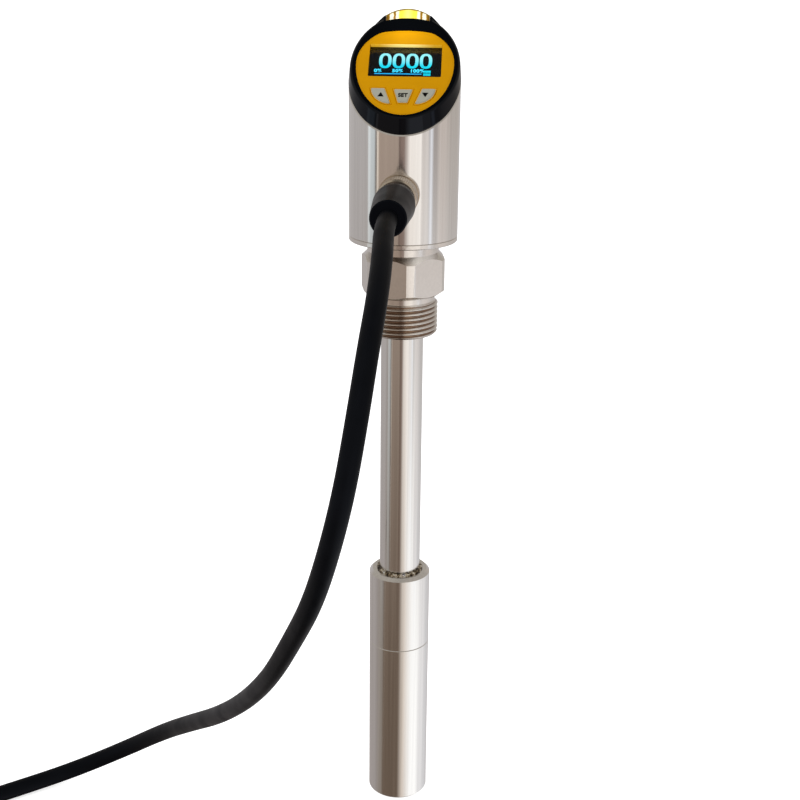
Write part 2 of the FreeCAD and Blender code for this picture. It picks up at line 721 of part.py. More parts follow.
def status_leds():
    """Two small lamps on the display board under the light's tongue."""
    lamps = []
    for side in (-1, 1):
        top = LED_SIZE[2] - BOARD_TOP_DEPTH
        lamps.append(on_face(block(LED_SIZE[0], LED_SIZE[1], -BOARD_TOP_DEPTH, top, side * LED_X, LED_Y)))
    return Part.makeCompound(lamps)


def cap_rim():
    """Rim of the cap, drawn on the face: its edge is rounded, but square beside the status light."""
    blank = cap_blank(0.0)
    face_edges = [edge for edge in blank.Edges if edge.BoundBox.ZMin > -RIM_ROUND]
    rounded = blank.makeFillet(RIM_ROUND, face_edges)
    near, far = LIGHT_SHOULDER
    corners = [
        V(-near, LIGHT_SHOULDER_Y, 0),
        V(near, LIGHT_SHOULDER_Y, 0),
        V(far, LIGHT_SHOULDER_Y, -RIM_ROUND),
        V(-far, LIGHT_SHOULDER_Y, -RIM_ROUND),
    ]
    wedge = Part.Face(Part.makePolygon(corners + corners[:1])).extrude(V(0, FACE_HALF_LENGTH, 0))
    return rounded.fuse(wedge.common(blank))


def head_cap():
    """Black cap: slanted face, skirt into the body, openings for the parts on the face."""
    rim = on_face(cap_rim())
    skirt = cylinder(SKIRT_R, SKIRT_END_Z, FAR).common(slab(2 * FAR, JOINT_DEPTH - ROOT))
    cavity = cylinder(CAVITY_R, 0, FAR).common(slab(2 * FAR, FLOOR_BACK_DEPTH))
    cap = rim.fuse(skirt).cut(cavity)
    boss_height = BOARD_TOP_DEPTH - FLOOR_BACK_DEPTH + ROOT
    pilot_length = SCREW_LENGTH + SCREW_GAP
    for x, y in BOSS_PLACES:
        boss = Part.makeCylinder(BOSS_R, boss_height, V(x, y, -BOARD_TOP_DEPTH))
        pilot = Part.makeCylinder(SCREW_R + SCREW_GAP, pilot_length, V(x, y, -BOARD_BACK_DEPTH))
        cap = cap.fuse(on_face(boss)).cut(on_face(pilot))
    recess = panel_plate(PANEL_GAP, PANEL_BACK_DEPTH, -FAR)
    opening = [side + 2 * LIGHT_GAP for side in LENS_SIZE]
    window = rounded_block(opening, WINDOW_ROUND, -FLOOR_BACK_DEPTH - 1, 0.0, WINDOW_CENTRE_Y)
    cuts = [recess, window] + key_holes(FLOOR_BACK_DEPTH + 1, 0.0)
    cap = cap.cut([on_face(shape) for shape in cuts])
    pocket = light_plan(LIGHT_GAP).common(slab(LIGHT_DEPTH + LIGHT_GAP, -FAR))
    return cap.cut([pocket, light_tongue(LIGHT_GAP), o_ring_groove(SKIRT_R, CAP_SEAL_Z)])


def board_carrier():
    """Moulded base on the fitting with two slotted posts for the main board."""
    base_top = SPIGOT_TOP_Z + CARRIER_FLOOR
    carrier = tube(CARRIER_R, CARRIER_HOLE_R, SPIGOT_TOP_Z, base_top)
    slot_y = MAIN_BOARD_FRONT_Y + BOARD_THICKNESS / 2
    for side in (-1, 1):
        post = block(*POST_SIZE, base_top - ROOT, POST_TOP_Z, side * POST_X, slot_y)
        carrier = carrier.fuse(post)
    slot_width = 2 * (MAIN_BOARD_HALF_WIDTH + SLOT_GAP)
    slot_thickness = BOARD_THICKNESS + 2 * SLOT_GAP
    slots = block(slot_width, slot_thickness, base_top, FAR, 0.0, slot_y)
    return carrier.cut(slots).removeSplitter()


def main_board():
    """Upright board in the carrier's slots with its larger components."""
    low = SPIGOT_TOP_Z + CARRIER_FLOOR
    back = MAIN_BOARD_FRONT_Y + BOARD_THICKNESS
    middle = MAIN_BOARD_FRONT_Y + BOARD_THICKNESS / 2
    board = block(2 * MAIN_BOARD_HALF_WIDTH, BOARD_THICKNESS, low, MAIN_BOARD_TOP_Z, 0.0, middle)
    for (width, height, depth), z in zip(CHIP_SIZES, CHIP_ZS):
        chip_y = back + (depth - ROOT) / 2
        board = board.fuse(block(width, depth + ROOT, z - height / 2, z + height / 2, 0.0, chip_y))
    return board.removeSplitter()


def connector_body():
    """Socket shell: saddle flange outside the tube, threaded nose and shank."""
    flange = cylinder(SOCKET_FLANGE_R, 0, SOCKET_FLANGE_OUT)
    flange = on_connector(flange).cut(cylinder(BODY_R + SADDLE_GAP, 0, FAR))
    nose = on_connector(cylinder(SOCKET_NOSE_R, SOCKET_SHANK_OUT, SOCKET_NOSE_OUT))
    bore = on_connector(cylinder(SOCKET_CAVITY_R, 0, FAR))
    return flange.fuse(nose).removeSplitter().cut(bore)


def connector_lock_nut():
    """Thin hexagon nut on the shank inside the tube."""
    nut = hexagon(LOCK_NUT_ACROSS_FLATS, *LOCK_NUT_OUTS, 90)
    return on_connector(nut.cut(cylinder(LOCK_NUT_BORE_R, 0, FAR)))


def pin_places():
    """Places of the contact pins round the connector's axis."""
    places = []
    for i in range(PIN_COUNT):
        angle = math.radians(45 + 360 / PIN_COUNT * i)
        places.append((PIN_CIRCLE_R * math.cos(angle), PIN_CIRCLE_R * math.sin(angle)))
    return places


def bored_for_pins(carrier):
    """Contact carrier with a hole for each pin."""
    holes = [Part.makeCylinder(PIN_HOLE_R, FAR, V(x, y, 0)) for x, y in pin_places()]
    return carrier.cut(holes)


def connector_insert():
    """Socket's plastic contact carrier."""
    return on_connector(bored_for_pins(cylinder(INSERT_R, *INSERT_OUTS)))


def connector_pins():
    """Socket's contact pins with rounded tips."""
    pins = []
    length = PIN_OUTS[1] - PIN_OUTS[0]
    for x, y in pin_places():
        shank = Part.makeCylinder(PIN_R, length, V(x, y, PIN_OUTS[0]))
        tip = Part.makeSphere(PIN_R, V(x, y, PIN_OUTS[1]))
        pins.append(on_connector(shank.fuse(tip).removeSplitter()))
    return Part.makeCompound(pins)


def plug_insert():
    """Plug's contact carrier with the collar that keeps the nut on."""
    body = cylinder(PLUG_INSERT_R, *PLUG_INSERT_OUTS)
    collar = cylinder(PLUG_COLLAR_R, *PLUG_COLLAR_OUTS)
    return on_connector(bored_for_pins(body.fuse(collar).removeSplitter()))


def coupling_nut():
    """Nut of the plug: bored over the socket's nose, with a lip behind the collar."""
    low, high = NUT_OUTS
    nut = turned([
        (NUT_BORE_R, low),
        (NUT_R - NUT_EDGE, low),
        (NUT_R, low + NUT_EDGE),
        (NUT_R, high - NUT_EDGE),
        (NUT_R - NUT_EDGE, high),
        (NUT_LIP_R, high),
        (NUT_LIP_R, NUT_LIP_OUT),
        (NUT_BORE_R, NUT_LIP_OUT),
    ])
    return on_connector(nut)


def boot_tail():
    """Boot behind the nut: it swells from its shoulder, then tapers to the cable; drawn along Z."""
    swell = BOOT_BULGE_OUT - BOOT_SHOULDER_OUT
    step = BOOT_BULGE_R - BOOT_REAR_R
    arc_r = (swell ** 2 + step ** 2) / (2 * step)
    half_way = math.asin(swell / arc_r) / 2
    arc_middle = V(
        BOOT_BULGE_R - arc_r * (1 - math.cos(half_way)),
        0,
        BOOT_BULGE_OUT - arc_r * math.sin(half_way),
    )
    corners = [
        V(BOOT_BULGE_R, 0, BOOT_BULGE_OUT),
        V(BOOT_END_R, 0, BOOT_END_OUT - BOOT_EDGE),
        V(BOOT_END_R - BOOT_EDGE, 0, BOOT_END_OUT),
        V(0, 0, BOOT_END_OUT),
        V(0, 0, BOOT_SHOULDER_OUT),
        V(BOOT_REAR_R, 0, BOOT_SHOULDER_OUT),
    ]
    edges = [Part.Arc(corners[-1], arc_middle, corners[0]).toShape()]
    for start, end in zip(corners, corners[1:]):
        edges.append(Part.LineSegment(start, end).toShape())
    return Part.Face(Part.Wire(edges)).revolve(V(0, 0, 0), V(0, 0, 1), 360)


def plug_boot():
    """Overmoulded plug body: neck through the nut, then a tail that leans with the cable's pull."""
    neck_start = PLUG_COLLAR_OUTS[1]
    neck = cylinder(BOOT_NECK_R, neck_start, BOOT_SHOULDER_OUT + BOOT_EDGE)
    socket = cylinder(PLUG_INSERT_R + BOOT_INSERT_GAP, neck_start - 1, PLUG_INSERT_OUTS[1])
    tail = boot_tail()
    tail.rotate(V(0, 0, BOOT_PIVOT_OUT), V(1, 0, 0), BOOT_LEAN_DOWN)
    return on_connector(neck.cut(socket).fuse(tail).removeSplitter())


def rounded_path(points):
    """Straight runs joined by tangent arcs as large as the runs allow; prints each bend's radius."""
    edges = []
    last = points[0]
    for before, corner, after in zip(points, points[1:], points[2:]):
        way_in = (corner - before).normalize()
        way_out = (after - corner).normalize()
        turn = way_in.getAngle(way_out)
        reach = ARC_SHARE * min(corner.distanceToPoint(before), corner.distanceToPoint(after))
        radius = reach / math.tan(turn / 2)
        print("cable bend radius %.1f mm" % radius)
        start = corner - way_in * reach
        end = corner + way_out * reach
        inward = (way_out - way_in).normalize()
        middle = corner + inward * (radius / math.cos(turn / 2) - radius)
        edges.append(Part.LineSegment(last, start).toShape())
        edges.append(Part.Arc(start, middle, end).toShape())
        last = end
    edges.append(Part.LineSegment(last, points[-1]).toShape())
    return Part.Wire(edges)


def cable():
    """Cable from the plug to the start of the coil."""
    path = rounded_path(CABLE_ROUTE)
    section = Part.Wire(Part.makeCircle(CABLE_R, BOOT_END, BOOT_WAY))
    solid = path.makePipeShell([section], True, True)
    plain = math.pi * CABLE_R ** 2 * path.Length
    print("cable run %.1f mm, volume %.1f against %.1f mm3" % (path.Length, solid.Volume, plain))
    return solid


def coil_layout():
    """Start of the coil's outer turn and its centre, both at the height of the lowest turn."""
    end = CABLE_ROUTE[-1]
    way = end - CABLE_ROUTE[-2]
    way = V(way.x, way.y, 0).normalize()
    join = end + way * COIL_LEAD_IN
    join.z = GROUND_Z + TIE_THICKNESS + TIE_GAP + CABLE_R
    centre = join + V(way.y, -way.x, 0) * COIL_RADII[1]
    return join, centre


def coil_section(low, grow):
    """Outline of the coil's bundled turns, grown all round: full lower layer, shorter upper layer."""
    inner = COIL_RADII[0] - CABLE_R - grow
    outer = COIL_RADII[1] + CABLE_R + grow
    step = low + 2 * CABLE_R
    top = low + 4 * CABLE_R + grow
    corners = [
        V(inner, 0, low - grow),
        V(outer, 0, low - grow),
        V(outer, 0, step),
        V(outer - 2 * CABLE_R, 0, top),
        V(inner, 0, top),
    ]
    return Part.makePolygon(corners + corners[:1])


def coil_tail(centre):
    """Start and end of the cable's last stretch, off the coil's upper layer and down beside it."""
    azimuth = math.radians(COIL_TAIL_AZIMUTH)
    out = V(math.cos(azimuth), math.sin(azimuth), 0)
    start = centre + out * (COIL_RADII[1] - 2 * CABLE_R) + V(0, 0, 2 * CABLE_R)
    along = V(out.y, -out.x, 0)
    drop = start.z - (GROUND_Z + CABLE_R + COIL_TAIL_END_RISE)
    level = math.sqrt(COIL_TAIL_LENGTH ** 2 - drop ** 2)
    end = start + along * level - V(0, 0, drop)
    return start, end


def cable_coil():
    """Outer shape of the coil with its lead-in and its tail."""
    join, centre = coil_layout()
    section = coil_section(centre.z - CABLE_R, 0.0)
    ring = Part.Face(section).revolve(V(0, 0, 0), V(0, 0, 1), 360)
    ring.translate(V(centre.x, centre.y, 0))
    entry = CABLE_ROUTE[-1]
    lead_in = Part.makeCylinder(CABLE_R, entry.distanceToPoint(join), entry, join - entry)
    tail_start, tail_end = coil_tail(centre)
    tail = Part.makeCylinder(CABLE_R, COIL_TAIL_LENGTH, tail_start, tail_end - tail_start)
    return ring.fuse([lead_in, tail]).removeSplitter()


def coil_tie():
    """Flat band round the coil's turns."""
    centre = coil_layout()[1]
    low = centre.z - CABLE_R
    outer = Part.Face(coil_section(low, TIE_GAP + TIE_THICKNESS))
    inner = Part.Face(coil_section(low, TIE_GAP))
    band = outer.cut(inner).extrude(V(0, TIE_WIDTH, 0))
    band.translate(V(0, -TIE_WIDTH / 2, 0))
    band.rotate(V(0, 0, 0), V(0, 0, 1), TIE_AZIMUTH)
    band.translate(V(centre.x, centre.y, 0))
    return band


def lead_wires():
    """Stripped ends of the cable's cores."""
    tail_start, tail_end = coil_tail(coil_layout()[1])
    along = V(tail_end.x - tail_start.x, tail_end.y - tail_start.y, 0).normalize()
    slope = (tail_end - tail_start).normalize()
    across = V(along.y, -along.x, 0)
    up = slope.cross(across)
    wires = []
    for i in range(WIRE_COUNT):
        angle = math.radians(45 + 360 / WIRE_COUNT * i)
        offset = across * (WIRE_CIRCLE_R * math.cos(angle)) + up * (WIRE_CIRCLE_R * math.sin(angle))
        wires.append(Part.makeCylinder(WIRE_R, WIRE_LENGTH, tail_end + offset, slope))
    return Part.makeCompound(wires)


def main():
    """Build every piece and write one file for each."""
    pieces = {
        "process_fitting": process_fitting(),
        "housing_tube": housing_tube(),
        "base_seal": o_ring(BODY_BORE_R, BASE_SEAL_Z),
        "stem_tube": stem_tube(),
        "weld_bead": weld_bead(),
        "probe_coupling": probe_coupling(),
        "joint_seal": o_ring(JOINT_BORE_R, JOINT_SEAL_Z),
        "probe_shell": probe_shell(),
        "pressure_cell": pressure_cell(),
        "cell_seal": o_ring(CELL_POCKET_R, CELL_SEAL_Z),
        "nose_ring": nose_ring(),
        "cell_board": cell_board(),
        "signal_lead": signal_lead(),
        "head_cap": head_cap(),
        "cap_seal": o_ring(BODY_BORE_R, CAP_SEAL_Z),
        "front_panel": front_panel(),
        "display_window": display_window(),
        "display_module": display_module(),
        "display_board": display_board(),
        "board_screws": board_screws(),
        "key_switches": key_switches(),
        "status_lens": status_lens(),
        "status_leds": status_leds(),
        "board_carrier": board_carrier(),
        "main_board": main_board(),
        "connector_body": connector_body(),
        "connector_lock_nut": connector_lock_nut(),
        "connector_insert": connector_insert(),
        "connector_pins": connector_pins(),
        "plug_insert": plug_insert(),
        "coupling_nut": coupling_nut(),
        "plug_boot": plug_boot(),
        "cable": cable(),
        "cable_coil": cable_coil(),
        "coil_tie": coil_tie(),
        "lead_wires": lead_wires(),
    }
    for name, outline in KEY_OUTLINES.items():
        pieces[name] = push_key(outline)
    os.makedirs("parts", exist_ok=True)
    for name, shape in pieces.items():
        print("%s: valid %s, %d solids, %.1f mm3" % (name, shape.isValid(), len(shape.Solids), shape.Volume))
        shape.exportStep("parts/%s.step" % name)


main()
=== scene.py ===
"""Looks of the tank level sensor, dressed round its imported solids. Lengths are metres, mm where named so."""

import logging
import math
from dataclasses import dataclass
from enum import Enum
from typing import Optional, Sequence, Union

import bmesh
import bpy
from mathutils import Matrix, Vector


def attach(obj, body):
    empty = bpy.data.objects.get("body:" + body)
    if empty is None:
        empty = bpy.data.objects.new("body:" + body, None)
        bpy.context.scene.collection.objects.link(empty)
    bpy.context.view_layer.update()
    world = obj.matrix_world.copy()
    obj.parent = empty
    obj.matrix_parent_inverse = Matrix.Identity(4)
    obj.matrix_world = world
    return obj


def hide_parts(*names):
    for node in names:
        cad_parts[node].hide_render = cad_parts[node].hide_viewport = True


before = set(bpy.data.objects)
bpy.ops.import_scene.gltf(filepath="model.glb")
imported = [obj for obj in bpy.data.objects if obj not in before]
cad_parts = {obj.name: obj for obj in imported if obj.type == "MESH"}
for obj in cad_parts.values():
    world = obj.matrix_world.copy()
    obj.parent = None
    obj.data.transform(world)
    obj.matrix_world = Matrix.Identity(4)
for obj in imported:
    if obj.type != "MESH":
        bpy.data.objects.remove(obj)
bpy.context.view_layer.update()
LOG = logging.getLogger("tank_level_sensor")
MM = 0.001
TAU = 2 * math.pi
SMOOTH_ANGLE = math.radians(32)
# Depth of the finest bumps, and the gap across which the seams of a wrapped grid close
BUMP_DEPTH = 0.05 * MM
SEAM_GAP = 0.001 * MM
# Nearly all of a noise pattern lies between these values
NOISE_SPAN = (0.3, 0.7)
# Share of a whole turn that lays a drawn-out mirror image across the marks
QUARTER_TURN = 0.25
# Colour sockets of a mix node: its two inputs and its result
MIX_A, MIX_B, MIXED = 6, 7, 2

FACE_SLOPE = math.radians(40)
FACE_AXIS_Z_MM = 83.282
CONNECTOR_Z_MM = 40.0
CONNECTOR_TURN = math.radians(1.75)

Tree = bpy.types.NodeTree
Node = bpy.types.Node
Socket = bpy.types.NodeSocket
Piece = bpy.types.Object
Shape = bmesh.types.BMesh
Pair = tuple[float, float]
Box = tuple[float, float, float, float]
Value = Union[float, int, tuple, Socket, Node, bpy.types.Material]


def linear(colour: str, alpha: float = 1.0) -> tuple[float, float, float, float]:
    """Turn an sRGB hex colour into linear light.

    Args:
        colour: six hex digits.
        alpha: fourth value to add.

    Returns:
        Red, green, blue and alpha.
    """
    parts = [int(colour[i:i + 2], 16) / 255 for i in (0, 2, 4)]
    light = [c / 12.92 if c <= 0.04045 else ((c + 0.055) / 1.055) ** 2.4 for c in parts]
    return (light[0], light[1], light[2], alpha)


def add_node(tree: Tree, kind: str, inputs: Optional[dict[Union[str, int], Value]] = None,
             **settings: object) -> Node:
    """Add one node with its settings and links.

    Args:
        tree: node tree to add to.
        kind: Blender's name of the node type.
        inputs: input sockets by name or index, each with a value, a socket or a node to link from.
        settings: properties of the node.

    Returns:
        The new node.
    """
    node = tree.nodes.new(kind)
    for name, value in settings.items():
        setattr(node, name, value)
    for socket, value in (inputs or {}).items():
        if isinstance(value, bpy.types.Node):
            value = value.outputs[0]
        if isinstance(value, bpy.types.NodeSocket):
            tree.links.new(value, node.inputs[socket])
        else:
            node.inputs[socket].default_value = value
    return node


def set_ramp(node: Node, stops: Sequence[tuple[float, tuple]]) -> Node:
    """Give a colour ramp its stops.

    Args:
        node: the ramp.
        stops: places from 0 to 1, each with a linear colour.

    Returns:
        The same node.
    """
    elements = node.color_ramp.elements
    while len(elements) < len(stops):
        elements.new(1.0)
    for element, (place, colour) in zip(elements, stops):
        element.position = place
        element.color = colour
    return node


class Axis(Enum):
    """Axis that a part was spun about or along which a colour changes."""

    X = (1.0, 0.0, 0.0)
    Y = (0.0, 1.0, 0.0)
    Z = (0.0, 0.0, 1.0)


@dataclass(frozen=True)
class Finish:
    """A real finish: name, colour as sRGB hex, roughness and the shares between which that varies."""

    name: str
    colour: str
    roughness: float
    rough_shares: Pair = (0.85, 1.15)

    def material(self) -> bpy.types.Material:
        """Make the finish's material once.

        Returns:
            The material, shared by every piece with this finish.
        """
        made = bpy.data.materials.get(self.name)
        if made is None:
            made = bpy.data.materials.new(self.name)
            made.use_nodes = True
            tree = made.node_tree
            tree.nodes.clear()
            place = add_node(tree, "ShaderNodeTexCoord").outputs["Object"]
            add_node(tree, "ShaderNodeOutputMaterial", {"Surface": self.shade(tree, place)})
            made.diffuse_color = linear(self.colour)
        return made

    def shade(self, tree: Tree, place: Socket) -> Node:
        """Build the finish's shader.

        Args:
            tree: node tree of the material.
            place: Object coordinates.

        Returns:
            The shader's node.
        """
        raise NotImplementedError

    def tones(self, tree: Tree, factor: Node, spread: float) -> Node:
        """Vary the finish's colour a little.

        Args:
            tree: node tree of the material.
            factor: pattern from 0 to 1.
            spread: share by which the colour darkens and lightens.

        Returns:
            A ramp with the varied colour.
        """
        base = linear(self.colour)
        dark = tuple(c * (1 - spread) for c in base[:3]) + (1.0,)
        light = tuple(min(c * (1 + spread), 1.0) for c in base[:3]) + (1.0,)
        ramp = add_node(tree, "ShaderNodeValToRGB", {"Fac": factor})
        return set_ramp(ramp, list(zip(NOISE_SPAN, (dark, light))))

    def stops(self, tones: Sequence[tuple[float, str]]) -> list[tuple[float, tuple]]:
        """Turn places and hex colours into a ramp's stops, the finish's own colour where one is empty."""
        return [(place, linear(tone or self.colour)) for place, tone in tones]

    def uneven(self, tree: Tree, pattern: Node, span: Pair = NOISE_SPAN) -> Node:
        """Let the roughness vary with a pattern.

        Args:
            tree: node tree of the material.
            pattern: what the roughness follows.
            span: values of the pattern at which the two shares are reached.

        Returns:
            A node with the varied roughness.
        """
        low, high = self.rough_shares
        return add_node(tree, "ShaderNodeMapRange", {
            "Value": pattern, "From Min": span[0], "From Max": span[1],
            "To Min": self.roughness * low, "To Max": self.roughness * high})


@dataclass(frozen=True)
class MarkedMetal(Finish):
    """Metal with fine marks of its making, and others round its axis that draw its image out along it."""

    axis: Axis = Axis.Z
    relief: float = 0.012
    draw: float = 0.9
    spread: float = 0.02

    def mark_sizes_mm(self) -> tuple[float, ...]:
        """Size of a mark along X, Y and Z."""
        raise NotImplementedError

    def wear(self, tree: Tree, place: Socket, marks: Node) -> Node:
        """Pattern that the gloss follows: the marks, unless a metal has its own."""
        return marks

    def shade(self, tree: Tree, place: Socket) -> Node:
        """Mirror-like metal whose tone, gloss and flatness change from mark to mark."""
        mapped = add_node(tree, "ShaderNodeMapping", {
            "Vector": place, "Scale": tuple(1 / (size * MM) for size in self.mark_sizes_mm())})
        marks = add_node(tree, "ShaderNodeTexNoise", {"Vector": mapped, "Scale": 1.0, "Detail": 3.0})
        bump = add_node(tree, "ShaderNodeBump", {
            "Height": marks, "Strength": self.relief, "Distance": BUMP_DEPTH})
        around = add_node(tree, "ShaderNodeTangent", direction_type="RADIAL", axis=self.axis.name)
        return add_node(tree, "ShaderNodeBsdfPrincipled", {
            "Base Color": self.tones(tree, marks, self.spread), "Metallic": 1.0,
            "Roughness": self.uneven(tree, self.wear(tree, place, marks)), "Normal": bump,
            "Anisotropic": self.draw, "Anisotropic Rotation": QUARTER_TURN, "Tangent": around})


@dataclass(frozen=True)
class TurnedMetal(MarkedMetal):
    """Metal turned on a lathe: fine grooves round the axis, and gloss that changes in wider patches."""

    rough_shares: Pair = (0.85, 1.2)
    # Real grooves are about 0.05 mm apart, and are drawn wider so that they show
    groove_mm: float = 0.35
    round_mm: float = 55.6
    patch_mm: float = 11.1

    def mark_sizes_mm(self) -> tuple[float, ...]:
        """Width of the grooves along the axis, and their run across it."""
        return tuple(self.groove_mm if part else self.round_mm for part in self.axis.value)

    def wear(self, tree: Tree, place: Socket, marks: Node) -> Node:
        """Patches that are wider than the grooves."""
        return add_node(tree, "ShaderNodeTexNoise", {
            "Vector": place, "Scale": 1 / (self.patch_mm * MM), "Detail": 4.0})


@dataclass(frozen=True)
class DrawnTube(MarkedMetal):
    """Drawn and polished tube: streaks along it, which its tone and gloss follow."""

    rough_shares: Pair = (0.8, 1.3)
    relief: float = 0.22
    draw: float = 0.85
    spread: float = 0.05
    streak_mm: float = 1.1
    length_mm: float = 90.0

    def mark_sizes_mm(self) -> tuple[float, ...]:
        """Width of the streaks, and their length along the tube."""
        return (self.streak_mm, self.streak_mm, self.length_mm)


@dataclass(frozen=True)
class FittingSteel(Finish):
    """Bar steel of the fitting: milled flats, turned neck and a thread with painted shade in its grooves."""

    milled_mm: Pair = (0.2, 15.6)
    milled_r_mm: float = 15.84
    milled_roughness: float = 0.32
    upright: float = 0.3
    # Colour of the painted shade at the roots of the thread
    painted_root_shade: str = "8A7462"
    thread_top_mm: float = -3.0
    groove_r_mm: Pair = (12.1, 12.8)
    mark_mm: float = 1.11
    spread: float = 0.03

    def shade(self, tree: Tree, place: Socket) -> Node:
        """Metal that is duller on its milled flats and whose thread has painted shade towards its roots."""
        parts = add_node(tree, "ShaderNodeSeparateXYZ", {"Vector": place})
        height = parts.outputs["Z"]
        flat = add_node(tree, "ShaderNodeCombineXYZ", {"X": parts.outputs["X"], "Y": parts.outputs["Y"]})
        radius = add_node(tree, "ShaderNodeVectorMath", {0: flat}, operation="LENGTH").outputs["Value"]
        facing = add_node(tree, "ShaderNodeTexCoord").outputs["Normal"]
        rise = add_node(tree, "ShaderNodeSeparateXYZ", {"Vector": facing}).outputs["Z"]
        lean = add_node(tree, "ShaderNodeMath", {0: rise}, operation="ABSOLUTE")
        # The bar's turned corners and the chamfers stay brighter than the flats between them
        limits = (
            ("GREATER_THAN", height, self.milled_mm[0] * MM), ("LESS_THAN", height, self.milled_mm[1] * MM),
            ("LESS_THAN", radius, self.milled_r_mm * MM), ("LESS_THAN", lean, self.upright))
        milled: Value = 1.0
        for operation, value, limit in limits:
            within = add_node(tree, "ShaderNodeMath", {0: value, 1: limit}, operation=operation)
            milled = add_node(tree, "ShaderNodeMath", {0: milled, 1: within}, operation="MULTIPLY")
        rough = add_node(tree, "ShaderNodeMapRange", {
            "Value": milled, "To Min": self.roughness, "To Max": self.milled_roughness})
        # Painted shade: the thread's colour turns brown and darker towards the roots of its grooves
        depth = add_node(tree, "ShaderNodeMapRange", {
            "Value": radius, "From Min": self.groove_r_mm[1] * MM, "From Max": self.groove_r_mm[0] * MM})
        threaded = add_node(tree, "ShaderNodeMath", {
            0: height, 1: self.thread_top_mm * MM}, operation="LESS_THAN")
        root_shaded = add_node(tree, "ShaderNodeMath", {0: depth, 1: threaded}, operation="MULTIPLY")
        marks = add_node(tree, "ShaderNodeTexNoise", {
            "Vector": place, "Scale": 1 / (self.mark_mm * MM), "Detail": 3.0})
        colour = add_node(tree, "ShaderNodeMix", {
            "Factor": root_shaded, MIX_A: self.tones(tree, marks, self.spread), MIX_B: linear(self.painted_root_shade)},
            data_type="RGBA")
        return add_node(tree, "ShaderNodeBsdfPrincipled", {
            "Base Color": colour.outputs[MIXED], "Metallic": 1.0, "Roughness": rough})


@dataclass(frozen=True)
class WeldTint(Finish):
    """Weld left as it cooled: oxide colours from straw to brown and blue over bright ripples."""

    rough_shares: Pair = (1.4, 0.7)
    patch_mm: float = 1.6
    oxides: tuple[tuple[float, str], ...] = (
        (0.36, "2E2822"), (0.46, "5E5444"), (0.53, ""), (0.58, "F2EEE2"), (0.68, "8E8F94"))
    rough_span: Pair = (0.35, 0.65)

    def shade(self, tree: Tree, place: Socket) -> Node:
        """Metal tinted in patches the size of the ripples."""
        patches = add_node(tree, "ShaderNodeTexNoise", {
            "Vector": place, "Scale": 1 / (self.patch_mm * MM), "Detail": 3.0, "Roughness": 0.6})
        ramp = add_node(tree, "ShaderNodeValToRGB", {"Fac": patches})
        return add_node(tree, "ShaderNodeBsdfPrincipled", {
            "Base Color": set_ramp(ramp, self.stops(self.oxides)), "Metallic": 1.0,
            "Roughness": self.uneven(tree, patches, self.rough_span)})


@dataclass(frozen=True)
class MouldedPlastic(Finish):
    """Injection-moulded plastic: even colour with a faint cloud and the mould's fine grain."""

    grain_mm: float = 0.25
    bump: float = 0.05
    spread: float = 0.04
    gloss: float = 0.5
    # Painted tint of the reflections, cool on the black parts; white leaves them as they are
    painted_reflection_tint: str = "FFFFFF"
    cloud_mm: float = 8.33

    def shade(self, tree: Tree, place: Socket) -> Node:
        """Dielectric with grain in its bump and clouds in its tone and gloss."""
        grain = add_node(tree, "ShaderNodeTexNoise", {
            "Vector": place, "Scale": 1 / (self.grain_mm * MM), "Detail": 2.0})
        clouds = add_node(tree, "ShaderNodeTexNoise", {
            "Vector": place, "Scale": 1 / (self.cloud_mm * MM), "Detail": 3.0})
        bump = add_node(tree, "ShaderNodeBump", {
            "Height": grain, "Strength": self.bump, "Distance": BUMP_DEPTH})
        return add_node(tree, "ShaderNodeBsdfPrincipled", {
            "Base Color": self.tones(tree, clouds, self.spread), "Roughness": self.uneven(tree, clouds),
            "Normal": bump, "Specular IOR Level": self.gloss, "Specular Tint": linear(self.painted_reflection_tint)})


@dataclass(frozen=True)
class CableJacket(MouldedPlastic):
    """Extruded cable jacket: matt where it hangs, with the soft sheen of handling at its lower bend."""

    # Heights in mm down the run, each with the jacket's gloss there
    sheen: tuple[Pair, ...] = (
        (20.0, 0.05), (-95.0, 0.09), (-125.0, 0.3), (-140.0, 0.24), (-185.0, 0.05))

    def shade(self, tree: Tree, place: Socket) -> Node:
        """Moulded plastic whose gloss changes down the run."""
        shader = super().shade(tree, place)
        height = add_node(tree, "ShaderNodeSeparateXYZ", {"Vector": place}).outputs["Z"]
        top, bottom = self.sheen[0][0], self.sheen[-1][0]
        run = add_node(tree, "ShaderNodeMapRange", {
            "Value": height, "From Min": top * MM, "From Max": bottom * MM})
        ramp = add_node(tree, "ShaderNodeValToRGB", {"Fac": run})
        stops = [((top - mm) / (top - bottom), (gloss, gloss, gloss, 1.0)) for mm, gloss in self.sheen]
        tree.links.new(set_ramp(ramp, stops).outputs[0], shader.inputs["Specular IOR Level"])
        return shader


@dataclass(frozen=True)
class ClearAcrylic(Finish):
    """Polished acrylic sheet, clear right through."""

    ior: float = 1.49
    relief: float = 0.003
    wave_mm: float = 6.67

    def shade(self, tree: Tree, place: Socket) -> Node:
        """Transmission with the faintest waviness of a polished sheet."""
        waves = add_node(tree, "ShaderNodeTexNoise", {
            "Vector": place, "Scale": 1 / (self.wave_mm * MM), "Detail": 1.0})
        bump = add_node(tree, "ShaderNodeBump", {
            "Height": waves, "Strength": self.relief, "Distance": BUMP_DEPTH})
        return add_node(tree, "ShaderNodeBsdfPrincipled", {
            "Base Color": linear(self.colour), "Roughness": self.roughness, "IOR": self.ior,
            "Transmission Weight": 1.0, "Normal": bump})


